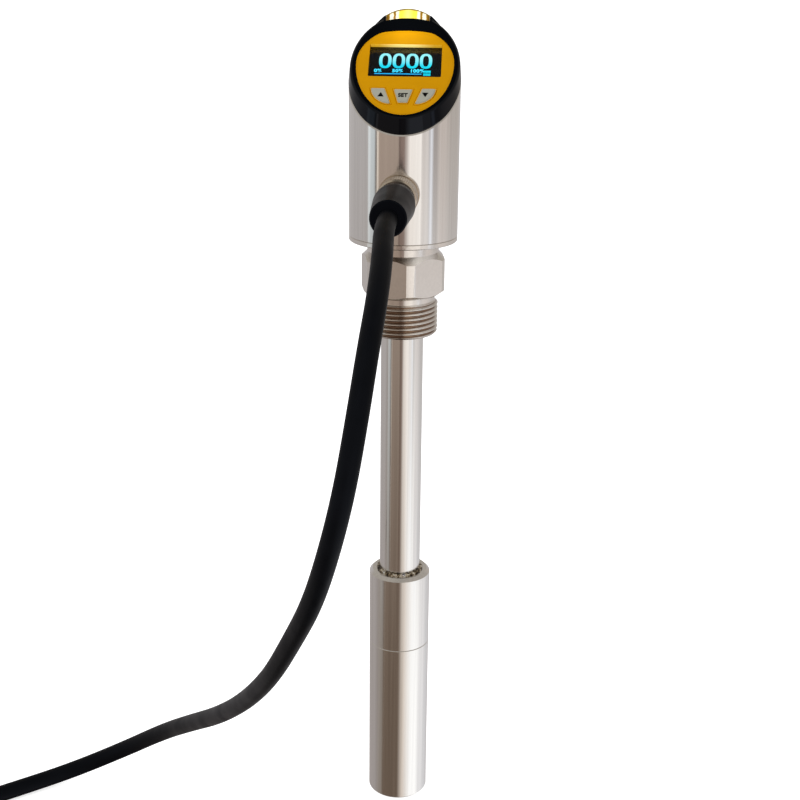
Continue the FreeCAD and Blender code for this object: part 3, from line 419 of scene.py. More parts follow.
@dataclass(frozen=True)
class LightWindow(Finish):
    """Clear yellow polycarbonate, lit from below and glowing, with painted highlights and painted shade on the
    facets beside its bright middle.
    """

    glow: float = 0.42
    # Painted highlights and painted shade: bright and dark bands by the distance from the middle
    painted_facet_light: tuple[tuple[float, str], ...] = (
        (0.00, "E8E070"), (0.25, ""), (0.40, ""), (0.44, "E2DCC0"), (0.53, "E2DCC0"), (0.56, "86600E"),
        (0.64, "86600E"), (0.67, "E2DCC0"), (0.80, "E2DCC0"), (0.84, "86600E"), (0.93, "5A4008"))
    reach_mm: Pair = (0.4, 8.4)
    sparkle_mm: float = 1.43
    sparkle_shift_mm: float = 0.8
    # Painted shade along the outer edge of the faces that look upwards
    painted_rim_shade: str = "6E5A1C"
    rim_mm: Pair = (19.2, 19.6)
    rim_rise: Pair = (0.3, 0.5)
    coat: Pair = (0.4, 0.05)

    def shade(self, tree: Tree, place: Socket) -> Node:
        """Yellow gloss with painted highlights and painted shade on facets that change with the distance from
        the middle, and painted shade along the outer edge.
        """
        parts = add_node(tree, "ShaderNodeSeparateXYZ", {"Vector": place})
        side = add_node(tree, "ShaderNodeMath", {0: parts.outputs["X"]}, operation="ABSOLUTE")
        sparkle = add_node(tree, "ShaderNodeTexNoise", {
            "Vector": place, "Scale": 1 / (self.sparkle_mm * MM), "Detail": 3.0})
        shifted = add_node(tree, "ShaderNodeMath", {
            0: sparkle, 1: self.sparkle_shift_mm * MM, 2: side}, operation="MULTIPLY_ADD")
        reach = add_node(tree, "ShaderNodeMapRange", {
            "Value": shifted, "From Min": self.reach_mm[0] * MM, "From Max": self.reach_mm[1] * MM})
        painted_facet_light = set_ramp(add_node(tree, "ShaderNodeValToRGB", {"Fac": reach}), self.stops(self.painted_facet_light))
        flat = add_node(tree, "ShaderNodeVectorMath", {0: place, 1: (1.0, 1.0, 0.0)}, operation="MULTIPLY")
        radius = add_node(tree, "ShaderNodeVectorMath", {0: flat}, operation="LENGTH")
        painted_rim_shade = add_node(tree, "ShaderNodeMapRange", {
            "Value": radius.outputs["Value"], "From Min": self.rim_mm[0] * MM,
            "From Max": self.rim_mm[1] * MM})
        # Painted shade along the edge, only on the faces that look upwards
        facing = add_node(tree, "ShaderNodeTexCoord").outputs["Normal"]
        upward = add_node(tree, "ShaderNodeMapRange", {
            "Value": add_node(tree, "ShaderNodeSeparateXYZ", {"Vector": facing}).outputs["Z"],
            "From Min": self.rim_rise[0], "From Max": self.rim_rise[1], "To Max": painted_rim_shade})
        colour = add_node(tree, "ShaderNodeMix", {
            "Factor": upward, MIX_A: painted_facet_light, MIX_B: linear(self.painted_rim_shade)}, data_type="RGBA").outputs[MIXED]
        return add_node(tree, "ShaderNodeBsdfPrincipled", {
            "Base Color": colour, "Roughness": self.roughness, "Emission Color": colour,
            "Emission Strength": self.glow, "Coat Weight": self.coat[0], "Coat Roughness": self.coat[1]})


@dataclass(frozen=True)
class Glow(Finish):
    """Surface that gives light, whose colour turns into another along one axis."""

    strength: float = 1.0
    other: str = ""
    along: Axis = Axis.Z
    span_mm: Pair = (0.0, 1.0)
    spot_mm: float = 3.85
    spot_detail: float = 1.0
    spread: float = 0.1
    pale_base: bool = False

    def shade(self, tree: Tree, place: Socket) -> Node:
        """Emission with faint spots, in the other colour at the end of its span where it has one."""
        spots = add_node(tree, "ShaderNodeTexNoise", {
            "Vector": place, "Scale": 1 / (self.spot_mm * MM), "Detail": self.spot_detail})
        part = add_node(tree, "ShaderNodeSeparateXYZ", {"Vector": place}).outputs[self.along.name]
        reach = add_node(tree, "ShaderNodeMath", {0: part}, operation="ABSOLUTE")
        share = add_node(tree, "ShaderNodeMapRange", {
            "Value": reach, "From Min": self.span_mm[0] * MM, "From Max": self.span_mm[1] * MM},
            interpolation_type="SMOOTHSTEP")
        colour = add_node(tree, "ShaderNodeMix", {
            "Factor": share, MIX_A: self.tones(tree, spots, self.spread),
            MIX_B: linear(self.other or self.colour)}, data_type="RGBA").outputs[MIXED]
        return add_node(tree, "ShaderNodeBsdfPrincipled", {
            "Base Color": colour if self.pale_base else linear("000000"), "Roughness": self.roughness,
            "Emission Color": colour, "Emission Strength": self.strength})


@dataclass(frozen=True)
class LitPixels(Glow):
    """Lit points of a small display, seen as an even glow, which may be paler towards the top."""

    span_mm: Pair = (81.2, 84.2)


@dataclass(frozen=True)
class PaintedGlowEdge(Glow):
    """Cut edge of a clear film with painted light: it glows, brightest at its middle and fading towards its
    ends.
    """

    strength: float = 0.5
    other: str = "FFE88A"
    along: Axis = Axis.X
    span_mm: Pair = (11.0, 1.0)
    spot_mm: float = 5.0
    spot_detail: float = 2.0
    spread: float = 0.08
    pale_base: bool = True


@dataclass(frozen=True)
class CircuitBoard(Finish):
    """Glass-fibre board under green solder mask, with copper tracks showing as lighter lines."""

    track_mm: float = 1.3
    tracks_across: int = 4
    line: float = 0.03
    shaded: str = "0F4A2A"
    copper: str = "4E8A4A"

    def shade(self, tree: Tree, place: Socket) -> Node:
        """Green gloss with brick-like tracks."""
        tracks = add_node(tree, "ShaderNodeTexBrick", {
            "Vector": place, "Scale": 1 / (self.track_mm * self.tracks_across * MM), "Mortar Size": self.line,
            "Color1": linear(self.colour), "Color2": linear(self.shaded), "Mortar": linear(self.copper)})
        return add_node(tree, "ShaderNodeBsdfPrincipled", {
            "Base Color": tracks, "Roughness": self.roughness})


# Stainless tube, drawn and polished: crisp upright reflections, slightly warm grey
STEEL = DrawnTube("stainless_steel_drawn", "DAD8D5", 0.12)
# The fitting's bar is milled to a satin hexagon and turned brighter above and below it
STEEL_FITTING = FittingSteel("stainless_steel_fitting", "DAD6D1", 0.18)
# Thin rolled stainless foil of the pressure cell
STEEL_FOIL = TurnedMetal("stainless_steel_foil", "D4D2CE", 0.18)
# Weld without filler, cooled in air
WELD = WeldTint("weld_heat_tinted", "A89A80", 0.13)
# Gloss ABS from a polished mould: black, mirroring the room faintly, with a painted cool tint on its
# reflections
CAP_BLACK = MouldedPlastic(
    "abs_gloss_black", "030406", 0.06, grain_mm=1.5, bump=0.008, spread=0.1, gloss=0.19, painted_reflection_tint="E2ECFF")
# Polycarbonate film printed amber from behind
PANEL_AMBER = MouldedPlastic(
    "polycarbonate_film_amber", "BF8600", 0.42, grain_mm=0.3, bump=0.04, gloss=0.03)
FILM_EDGE = MouldedPlastic("polycarbonate_film_edge", "B07A00", 0.42, gloss=0.06)
# Window's cut edge in the clear film, with painted light: it glows, brightest at its middle
WINDOW_EDGE_PAINTED_GLOW = PaintedGlowEdge("polycarbonate_cut_edge_painted_glow", "D2A426", 0.3)
# Film in the gaps round the keys, with a painted glow that lightens the gaps
SEAT_PAINTED_GLOW = PaintedGlowEdge("polycarbonate_film_seat_painted_glow", "D6A00C", 0.4, strength=0.12, other="D6A00C")
LENS_CLEAR = ClearAcrylic("acrylic_clear", "FFFFFF", 0.0)
# Cover glass of an unlit display: black with a little blue
DISPLAY_GLASS = MouldedPlastic("display_glass_black", "0B0F1C", 0.06, bump=0.0, spread=0.15, gloss=0.3)
DIGITS_CYAN = LitPixels("display_pixels_cyan", "00DEFA", 0.5, strength=1.08, other="98F8FF")
SCALE_BLUE = LitPixels("display_pixels_blue", "1CB4FF", 0.5, strength=1.15)
MARKS_CYAN = LitPixels("display_pixels_pale_blue", "3CD8FF", 0.5, strength=1.5)
# Foam strip round the display
GASKET_BLACK = MouldedPlastic("foam_black", "060606", 0.7, bump=0.0, gloss=0.1)
# Moulded silicone-coated keys, matt and a little warm
KEY_GREY = MouldedPlastic("key_grey_satin", "9B9A8C", 0.38, grain_mm=0.2, bump=0.06)
LEGEND_BLACK = MouldedPlastic("print_black", "060606", 0.5, gloss=0.05)
# Lit lens of the status light, with painted highlights and painted shade on its facets and a painted shaded
# rim
LIGHT_YELLOW = LightWindow("polycarbonate_clear_yellow", "DCC440", 0.12)
LED_WHITE = MouldedPlastic("led_body_white", "F2EEDC", 0.4)
BOARD_GREEN = CircuitBoard("circuit_board_green", "14603A", 0.35)
# Glass-filled nylon of the inner mouldings
INNER_BLACK = MouldedPlastic("nylon_black", "1A1A1A", 0.5, grain_mm=0.4, bump=0.1)
# Nickel plate over turned brass: warmer than steel
NICKEL = TurnedMetal("nickel_plated_brass", "CFC4B4", 0.22, axis=Axis.Y)
GOLD = TurnedMetal("gold_plated_contact", "D9AE4E", 0.2, axis=Axis.Y)
# Thermoplastic polyurethane overmoulding, satin from a spark-eroded mould, with a painted cool tint on its
# reflections
BOOT_BLACK = MouldedPlastic(
    "polyurethane_overmould_black", "07080C", 0.34, grain_mm=0.22, bump=0.06, spread=0.12, gloss=0.055,
    painted_reflection_tint="DCE8FF")
# Extruded cable jacket, matt, with a painted cool tint on its dull sheen
CABLE_BLACK = CableJacket(
    "cable_jacket_black", "0A0B0E", 0.46, grain_mm=0.5, bump=0.05, spread=0.15, painted_reflection_tint="DCE8FF")
TIE_BLACK = MouldedPlastic("nylon_tie_black", "161616", 0.45)
WIRE_BROWN = MouldedPlastic("wire_insulation_brown", "5A3620", 0.4)
SEAL_BLACK = MouldedPlastic("nitrile_rubber_black", "151515", 0.55)

FINISHED_NODES: tuple[tuple[Finish, str], ...] = (
    (STEEL, "housing_tube stem_tube probe_coupling probe_shell nose_ring board_screws"),
    (STEEL_FITTING, "process_fitting"), (STEEL_FOIL, "pressure_cell"), (WELD, "weld_bead"),
    (CAP_BLACK, "head_cap"), (PANEL_AMBER, "front_panel"), (LENS_CLEAR, "display_window"),
    (DISPLAY_GLASS, "display_module"), (KEY_GREY, "up_key set_key down_key"), (LIGHT_YELLOW, "status_lens"),
    (LED_WHITE, "status_leds"), (BOARD_GREEN, "display_board main_board cell_board"),
    (INNER_BLACK, "key_switches board_carrier connector_insert plug_insert"),
    (NICKEL, "connector_body connector_lock_nut coupling_nut"), (GOLD, "connector_pins"),
    (BOOT_BLACK, "plug_boot"), (CABLE_BLACK, "cable cable_coil signal_lead"), (TIE_BLACK, "coil_tie"),
    (WIRE_BROWN, "lead_wires"), (SEAL_BLACK, "base_seal joint_seal cell_seal cap_seal"),
)
NODE_FINISHES: dict[str, Finish] = {
    node: finish for finish, nodes in FINISHED_NODES for node in nodes.split()}


def paint(piece: Piece, *finishes: Finish) -> Piece:
    """Give a piece its finishes.

    Args:
        piece: the piece to paint.
        finishes: a finish for each of its slots, in order.

    Returns:
        The same piece.
    """
    piece.data.materials.clear()
    for finish in finishes:
        piece.data.materials.append(finish.material())
    return piece


def link(name: str, data: bpy.types.ID) -> Piece:
    """Make an object and put it in the scene.

    Args:
        name: name of the object.
        data: its mesh, curve, lamp or camera.

    Returns:
        The object.
    """
    piece = bpy.data.objects.new(name, data)
    bpy.context.scene.collection.objects.link(piece)
    return piece


def on_face(point: Sequence[float], height_mm: float) -> Vector:
    """Carry a point of the slanted face, in mm, to the sensor's frame.

    Args:
        point: place across and up the face.
        height_mm: distance out of the face, below it when negative.

    Returns:
        The point in metres.
    """
    turn = Matrix.Rotation(FACE_SLOPE, 3, "X")
    placed = turn @ Vector((point[0], point[1], height_mm)) + Vector((0, 0, FACE_AXIS_Z_MM))
    return placed * MM


def bulged(angle: float, bulge: float) -> Pair:
    """Point of a unit outline between a circle, at a bulge of 2, and a square."""
    across, up = math.cos(angle), math.sin(angle)
    return (math.copysign(abs(across) ** (2 / bulge), across), math.copysign(abs(up) ** (2 / bulge), up))


def finish_mesh(mesh: bpy.types.Mesh, angle: float = SMOOTH_ANGLE) -> bpy.types.Mesh:
    """Point a closed mesh's faces outwards and keep only its real edges sharp.

    Args:
        mesh: the mesh to change.
        angle: edges that turn by more than this stay sharp.

    Returns:
        The same mesh.
    """
    shape = bmesh.new()
    shape.from_mesh(mesh)
    bmesh.ops.recalc_face_normals(shape, faces=shape.faces)
    shape.to_mesh(mesh)
    shape.free()
    mesh.shade_smooth()
    mesh.set_sharp_from_angle(angle=angle)
    return mesh


def plate_on_face(shape: Shape, outline: Sequence[Pair], low_mm: float, high_mm: float,
                  hole: Sequence[Pair] = ()) -> None:
    """Add a thin closed plate to a mesh, lying on the slanted face.

    Args:
        shape: mesh to add to.
        outline: corners in mm on the face.
        low_mm: height of its back.
        high_mm: height of its front.
        hole: inner outline with as many corners, or nothing.
    """
    def ring(points: Sequence[Pair], height: float) -> list:
        """Corners of an outline at a height."""
        return [shape.verts.new(on_face(point, height)) for point in points]

    def wall(first: list, second: list) -> None:
        """Faces all round between two outlines."""
        for i, corner in enumerate(first):
            after = (i + 1) % len(first)
            shape.faces.new((corner, first[after], second[after], second[i]))

    low, high = ring(outline, low_mm), ring(outline, high_mm)
    wall(low, high)
    if hole:
        inner_low, inner_high = ring(hole, low_mm), ring(hole, high_mm)
        wall(inner_high, inner_low)
        wall(inner_low, low)
        wall(high, inner_high)
    else:
        shape.faces.new(high)
        shape.faces.new(list(reversed(low)))


def piece_from(name: str, shape: Shape, angle: float = SMOOTH_ANGLE) -> Piece:
    """Turn a bmesh into a finished piece.

    Args:
        name: name of the piece.
        shape: its mesh, which is used up.
        angle: edges that turn by more than this stay sharp.

    Returns:
        The piece.
    """
    mesh = bpy.data.meshes.new(name)
    shape.to_mesh(mesh)
    shape.free()
    return link(name, finish_mesh(mesh, angle))


def bake_nodes(name: str, tree: Tree, values: dict[str, Value]) -> Piece:
    """Run a geometry node tree and keep its result as a plain mesh.

    Args:
        name: name of the piece.
        tree: the node tree, with named inputs.
        values: a value for each input.

    Returns:
        The piece, without its modifier.
    """
    piece = link(name, bpy.data.meshes.new(name))
    modifier = piece.modifiers.new("shape", "NODES")
    modifier.node_group = tree
    for item in tree.interface.items_tree:
        if item.item_type == "SOCKET" and item.in_out == "INPUT" and item.name in values:
            modifier[item.identifier] = values[item.name]
    bpy.context.view_layer.update()
    seen = piece.evaluated_get(bpy.context.evaluated_depsgraph_get())
    baked = bpy.data.meshes.new_from_object(seen)
    piece.modifiers.remove(modifier)
    piece.data = baked
    return piece


def new_tree(name: str, sizes: Sequence[str],
             others: Optional[dict[str, str]] = None) -> tuple[Tree, dict[str, Socket]]:
    """Start a geometry node tree with named inputs and a material.

    Args:
        name: name of the tree.
        sizes: names of the inputs that are plain numbers.
        others: names and socket types of further inputs.

    Returns:
        The tree and the sockets of its inputs.
    """
    kinds = {label: "NodeSocketFloat" for label in sizes}
    kinds.update(others or {}, Material="NodeSocketMaterial")
    tree = bpy.data.node_groups.new(name, "GeometryNodeTree")
    for label, kind in kinds.items():
        tree.interface.new_socket(label, in_out="INPUT", socket_type=kind)
    tree.interface.new_socket("Geometry", in_out="OUTPUT", socket_type="NodeSocketGeometry")
    given = add_node(tree, "NodeGroupInput")
    return tree, {label: given.outputs[label] for label in kinds}


def wrap_round(tree: Tree, grid: Node, turn: Value, radius: Value, height: Value) -> Node:
    """Wrap a grid round the Z axis and close its seams.

    Args:
        tree: node tree to add to.
        grid: the flat grid.
        turn: angle of each of its points.
        radius: distance of each from the axis.
        height: height of each.

    Returns:
        The closed mesh.
    """
    flat = []
    for operation in ("COSINE", "SINE"):
        part = add_node(tree, "ShaderNodeMath", {0: turn}, operation=operation)
        flat.append(add_node(tree, "ShaderNodeMath", {0: radius, 1: part}, operation="MULTIPLY"))
    point = add_node(tree, "ShaderNodeCombineXYZ", {"X": flat[0], "Y": flat[1], "Z": height})
    moved = add_node(tree, "GeometryNodeSetPosition", {"Geometry": grid, "Position": point})
    return add_node(tree, "GeometryNodeMergeByDistance", {"Geometry": moved, "Distance": SEAM_GAP})


def close_tree(tree: Tree, shape: Node, material: Socket) -> None:
    """End a geometry node tree in real geometry with its material.

    Args:
        tree: the node tree.
        shape: what it makes.
        material: socket with the material.
    """
    real = add_node(tree, "GeometryNodeRealizeInstances", {"Geometry": shape})
    dressed = add_node(tree, "GeometryNodeSetMaterial", {"Geometry": real, "Material": material})
    add_node(tree, "NodeGroupOutput", {"Geometry": dressed})


@dataclass
class ProcessFitting:
    """Screw-in fitting with its pipe thread cut into the lower end."""

    pitch_mm: float = 1.814
    crest_r_mm: float = 13.22
    root_r_mm: float = 12.06
    relief_r_mm: float = 12.0
    relief_end_mm: float = -2.3
    run_out_mm: float = -3.52
    chamfer_mm: float = -14.2
    end_mm: float = -15.2
    end_r_mm: float = 12.22
    lip_mm: float = 0.05
    # Values of the wave that make the thread's roots and crests
    flank: Pair = (-0.85, 0.95)
    steps: int = 161
    rows: int = 200
    milled_angle: float = math.radians(15)
    # Room left when the plain barrel's faces are told from the bore and from the ends
    bore_room_mm: float = 0.5
    end_room_mm: float = 0.01

    def thread_tree(self) -> Tree:
        """Node tree of a threaded sleeve: a grid wrapped round the axis, its radius a wave along a helix.

        Returns:
            The tree.
        """
        tree, given = new_tree("pipe_thread", (
            "Pitch", "Crest Radius", "Root Radius", "Relief Radius", "End Radius", "Top", "Relief End",
            "Run Out", "Chamfer", "Bottom"))
        grid = add_node(tree, "GeometryNodeMeshGrid", {
            "Size X": 1.0, "Size Y": 1.0, "Vertices X": self.steps, "Vertices Y": self.rows})
        place = add_node(tree, "GeometryNodeInputPosition")
        parts = add_node(tree, "ShaderNodeSeparateXYZ", {"Vector": place})
        share = parts.outputs["X"]
        height = add_node(tree, "ShaderNodeMapRange", {
            "Value": parts.outputs["Y"], "From Min": -0.5, "From Max": 0.5,
            "To Min": given["Bottom"], "To Max": given["Top"]})
        climb = add_node(tree, "ShaderNodeMath", {0: height, 1: given["Pitch"]}, operation="DIVIDE")
        phase = add_node(tree, "ShaderNodeMath", {0: climb, 1: share}, operation="SUBTRACT")
        angle = add_node(tree, "ShaderNodeMath", {0: phase, 1: TAU}, operation="MULTIPLY")
        wave = add_node(tree, "ShaderNodeMath", {0: angle}, operation="COSINE")
        radius = add_node(tree, "ShaderNodeMapRange", {
            "Value": wave, "From Min": self.flank[0], "From Max": self.flank[1],
            "To Min": given["Root Radius"], "To Max": given["Crest Radius"]})
        # The run-out at the top and the chamfer at the bottom cut the ridges down
        for start, end, first, last in (("Relief End", "Run Out", "Relief Radius", "Crest Radius"),
                                        ("Chamfer", "Bottom", "Crest Radius", "End Radius")):
            cone = add_node(tree, "ShaderNodeMapRange", {
                "Value": height, "From Min": given[start], "From Max": given[end],
                "To Min": given[first], "To Max": given[last]})
            radius = add_node(tree, "ShaderNodeMath", {0: radius, 1: cone}, operation="MINIMUM")
        turn = add_node(tree, "ShaderNodeMath", {0: share, 1: TAU}, operation="MULTIPLY")
        close_tree(tree, wrap_round(tree, grid, turn, radius, height), given["Material"])
        return tree

    def build(self) -> Piece:
        """Cut the thread into a copy of the fitting.

        Returns:
            The threaded fitting.
        """
        sizes_mm = {
            "Pitch": self.pitch_mm, "Crest Radius": self.crest_r_mm, "Root Radius": self.root_r_mm,
            "Relief Radius": self.relief_r_mm, "End Radius": self.end_r_mm, "Top": -self.lip_mm,
            "Relief End": self.relief_end_mm, "Run Out": self.run_out_mm, "Chamfer": self.chamfer_mm,
            "Bottom": self.end_mm + self.lip_mm}
        sleeve = bake_nodes("thread_sleeve", self.thread_tree(), {
            **{label: size * MM for label, size in sizes_mm.items()}, "Material": STEEL_FITTING.material()})
        shape = bmesh.new()
        shape.from_mesh(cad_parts["process_fitting"].data)
        bmesh.ops.remove_doubles(shape, verts=shape.verts, dist=SEAM_GAP)
        plain = [face for face in shape.faces if self.is_thread(face.calc_center_median() / MM)]
        bmesh.ops.delete(shape, geom=plain, context="FACES")
        shape.from_mesh(sleeve.data)
        bpy.data.objects.remove(sleeve)
        for height in (0.0, self.end_mm):
            rims = [edge for edge in shape.edges if edge.is_boundary and self.near(edge, height)]
            bmesh.ops.bridge_loops(shape, edges=rims)
        piece = piece_from("threaded_fitting", shape, self.milled_angle)
        for edge in piece.data.edges:
            heights = [piece.data.vertices[i].co.z / MM for i in edge.vertices]
            if self.end_mm < min(heights) and max(heights) < 0:
                edge.use_edge_sharp = False
        return paint(piece, STEEL_FITTING)

    def is_thread(self, centre: Vector) -> bool:
        """Tell whether a face at this place, in mm, is part of the plain lower barrel."""
        outside = math.hypot(centre.x, centre.y) > self.relief_r_mm - self.bore_room_mm
        return outside and self.end_mm + self.end_room_mm < centre.z < -self.end_room_mm

    def near(self, edge: bmesh.types.BMEdge, height: float) -> bool:
        """Tell whether an open edge lies at one end of the barrel."""
        return all(abs(vert.co.z / MM - height) < 2 * self.lip_mm for vert in edge.verts)

    def dress(self) -> None:
        """Put the threaded copy in place of the plain fitting."""
        piece = self.build()
        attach(piece, "sensor")
        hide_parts("process_fitting")
        LOG.info("threaded_fitting: %d faces", len(piece.data.polygons))


@dataclass
class Probe:
    """Probe and stem, joined by a weld whose ripples show."""

    bead_r_mm: float = 8.4
    bead_z_mm: float = -113.35
    section_mm: float = 0.62
    ripples: int = 26
    ripple_mm: float = 0.16
    ripple_lean: float = 0.05
    lump_mm: float = 0.3
    lump_width_mm: float = 1.4
    steps: int = 361
    rows: int = 25

    def weld_tree(self) -> Tree:
        """Node tree of the weld: a ring whose section swells and shrinks from ripple to ripple.

        Returns:
            The tree.
        """
        tree, given = new_tree("weld_bead", (
            "Ring Radius", "Height", "Section Radius", "Ripple", "Lump", "Ripple Count"))
        grid = add_node(tree, "GeometryNodeMeshGrid", {
            "Size X": TAU, "Size Y": TAU, "Vertices X": self.steps, "Vertices Y": self.rows})
        place = add_node(tree, "GeometryNodeInputPosition")
        parts = add_node(tree, "ShaderNodeSeparateXYZ", {"Vector": place})
        turn, lean = parts.outputs["X"], parts.outputs["Y"]
        cosine, sine, out, up = (
            add_node(tree, "ShaderNodeMath", {0: angle}, operation=operation)
            for angle in (turn, lean) for operation in ("COSINE", "SINE"))
        # The ripples trail behind the arc, so their crests lean with the section
        skewed = add_node(tree, "ShaderNodeMath", {
            0: up, 1: self.ripple_lean, 2: turn}, operation="MULTIPLY_ADD")
        beat = add_node(tree, "ShaderNodeMath", {0: skewed, 1: given["Ripple Count"]}, operation="MULTIPLY")
        half_beat = add_node(tree, "ShaderNodeMath", {0: beat, 1: 0.5}, operation="MULTIPLY")
        swing = add_node(tree, "ShaderNodeMath", {0: half_beat}, operation="SINE")
        crest = add_node(tree, "ShaderNodeMath", {0: swing}, operation="ABSOLUTE")
        around = add_node(tree, "ShaderNodeCombineXYZ", {"X": cosine, "Y": sine, "Z": out})
        lumps = add_node(tree, "ShaderNodeTexNoise", {
            "Vector": around, "Scale": self.bead_r_mm / self.lump_width_mm, "Detail": 2.0})
        offset = add_node(tree, "ShaderNodeMath", {0: lumps, 1: 0.5}, operation="SUBTRACT")
        grown = add_node(tree, "ShaderNodeMath", {
            0: crest, 1: given["Ripple"], 2: given["Section Radius"]}, operation="MULTIPLY_ADD")
        section = add_node(tree, "ShaderNodeMath", {
            0: offset, 1: given["Lump"], 2: grown}, operation="MULTIPLY_ADD")
        radius, height = (
            add_node(tree, "ShaderNodeMath", {0: section, 1: way, 2: given[start]}, operation="MULTIPLY_ADD")
            for way, start in ((out, "Ring Radius"), (up, "Height")))
        close_tree(tree, wrap_round(tree, grid, turn, radius, height), given["Material"])
        return tree

    def dress(self) -> None:
        """Put the rippled weld in place of the plain fillet."""
        bead = bake_nodes("rippled_weld", self.weld_tree(), {
            "Ring Radius": self.bead_r_mm * MM, "Height": self.bead_z_mm * MM,
            "Section Radius": self.section_mm * MM, "Ripple": self.ripple_mm * MM, "Lump": self.lump_mm * MM,
            "Ripple Count": float(self.ripples), "Material": WELD.material()})
        finish_mesh(bead.data)
        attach(bead, "sensor")
        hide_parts("weld_bead")
        LOG.info("rippled_weld: %d faces", len(bead.data.polygons))


@dataclass
class Head:
    """Slanted head: what the display shows, the keys' legends, the film's edges and the light's ribs."""

    glass_mm: float = -2.98
    ink_mm: float = 0.02
    digit_xs_mm: tuple[float, ...] = (-7.24, -2.41, 2.41, 7.24)
    digit_y_mm: float = 3.3
    digit_size_mm: Pair = (4.5, 7.3)
    stroke_mm: Pair = (1.2, 1.05)
    squareness: float = 2.5
    bar_mm: Box = (-10.8, 5.9, -3.25, -2.8)
    marks: tuple[tuple[str, float], ...] = (("0%", -9.7), ("50%", -2.7), ("100%", 4.2))
    mark_y_mm: float = -1.6
    mark_size_mm: float = 2.1
    mark_weight: float = 0.045
    unit_box_mm: Box = (6.5, 9.1, -3.75, -1.3)
    unit_share: float = 0.75
    letter_space: float = 1.1
    key_top_mm: float = 0.31
    set_place_mm: Pair = (0.0, -15.9)
    set_size_mm: float = 2.4
    set_squeeze: float = 0.82
    set_weight: float = 0.055
    arrow_place_mm: Pair = (7.75, -15.6)
    arrow_size_mm: Pair = (2.3, 2.1)
    # Corners of the middle key and of the right one, whose outer side bulges through the last point
    set_outline_mm: tuple[Pair, ...] = ((-3.3, -12.8), (-1.6, -19.0), (1.6, -19.0), (3.3, -12.8))
    side_outline_mm: tuple[Pair, ...] = ((6.6, -12.4), (4.3, -19.5), (5.4, -19.5), (11.3, -12.4))
    side_bulge_mm: Pair = (9.5, -17.0)
    seat_grow_mm: Pair = (0.04, 0.19)
    seat_mm: Pair = (-0.85, -0.12)
    # Ribs of the light window: their grooves, the window's crown and its front, bowed by the end's set-back
    rib_xs_mm: tuple[float, ...] = (-6.2, -4.2, 4.2, 6.2)
    rib_half_mm: float = 0.24
    rib_mm: Pair = (-0.49, 0.02)
    light_half_mm: float = 7.9
    light_crown_mm: float = 0.6
    light_front_mm: Pair = (17.06, 1.0)
    light_rear_r_mm: float = 19.86
    window_half_mm: float = 12.85
    window_top_mm: float = 9.19
    edge_mm: tuple[float, float, float] = (0.14, -1.48, -0.24)
    gasket_mm: Pair = (-2.96, -2.72)
    # Left, right, low and high sides of the strips, which leave room for the bosses
    gasket_strips_mm: tuple[Box, ...] = (
        (-13.0, 13.0, 8.75, 9.4), (-13.0, -5.8, 9.4, 10.6), (-2.6, 2.6, 9.4, 10.6), (5.8, 13.0, 9.4, 10.6))
    # The panel's outline: its half width, its reach up and down the face and how far each half bulges
    panel_half_mm: float = 17.35
    panel_reach_mm: Pair = (16.0, 24.6)
    panel_bulge: Pair = (2.35, 2.0)
    film_inset_mm: float = 0.6
    film_line_mm: float = 0.1
    panel_surface_mm: float = -0.2
    corners: int = 56

    def egg(self, centre: Pair, half: Pair) -> list[Pair]:
        """Outline between an ellipse and a rectangle.

        Args:
            centre: its middle in mm.
            half: half its width and height.

        Returns:
            Its corners.
        """
        points = []
        for i in range(self.corners):
            wide, tall = bulged(TAU * i / self.corners, self.squareness)
            points.append((centre[0] + half[0] * wide, centre[1] + half[1] * tall))
        return points

    def rectangle(self, box: Box) -> list[Pair]:
        """Corners of a rectangle from its left, right, low and high sides."""
        left, right, low, high = box
        return [(left, low), (right, low), (right, high), (left, high)]

    def lettering(self, text: str, centre: Pair, size_mm: float, height_mm: float, squeeze: float = 1.0,
                  weight: float = 0.012) -> bpy.types.Mesh:
        """Flat letters on the slanted face.

        Args:
            text: what to write.
            centre: middle of the writing in mm.
            size_mm: size of the type.
            height_mm: height above the face.
            squeeze: share of its width that the type keeps.
            weight: share of the size by which its strokes grow on each side.

        Returns:
            A mesh in the sensor's frame.
        """
        font = bpy.data.curves.new(text, "FONT")
        font.body = text
        font.size = size_mm
        font.align_x = "CENTER"
        font.align_y = "CENTER"
        font.extrude = self.ink_mm / 2
        font.offset = weight * size_mm
        font.space_character = self.letter_space
        writer = link(text, font)
        bpy.context.view_layer.update()
        seen = writer.evaluated_get(bpy.context.evaluated_depsgraph_get())
        mesh = bpy.data.meshes.new_from_object(seen)
        bpy.data.objects.remove(writer)
        for vert in mesh.vertices:
            place = (vert.co.x * squeeze + centre[0], vert.co.y + centre[1])
            vert.co = on_face(place, height_mm + vert.co.z)
        return mesh

    def plates(self, name: str, finish: Finish, *plates: tuple) -> Piece:
        """Make a piece of thin plates on the face.

        Args:
            name: name of the piece.
            finish: its finish.
            plates: outline, back, front and, where there is one, hole of each plate.

        Returns:
            The piece.
        """
        shape = bmesh.new()
        for plate in plates:
            plate_on_face(shape, *plate)
        return paint(piece_from(name, shape), finish)

    def writing(self, name: str, finish: Finish, *words: bpy.types.Mesh) -> Piece:
        """Make a piece of flat letters.

        Args:
            name: name of the piece.
            finish: its finish.
            words: meshes of the letters.

        Returns:
            The piece.
        """
        shape = bmesh.new()
        for word in words:
            shape.from_mesh(word)
        return paint(piece_from(name, shape), finish)

    def lit(self) -> Pair:
        """Back and front of what the display shows, in mm."""
        return (self.glass_mm - self.ink_mm, self.glass_mm)

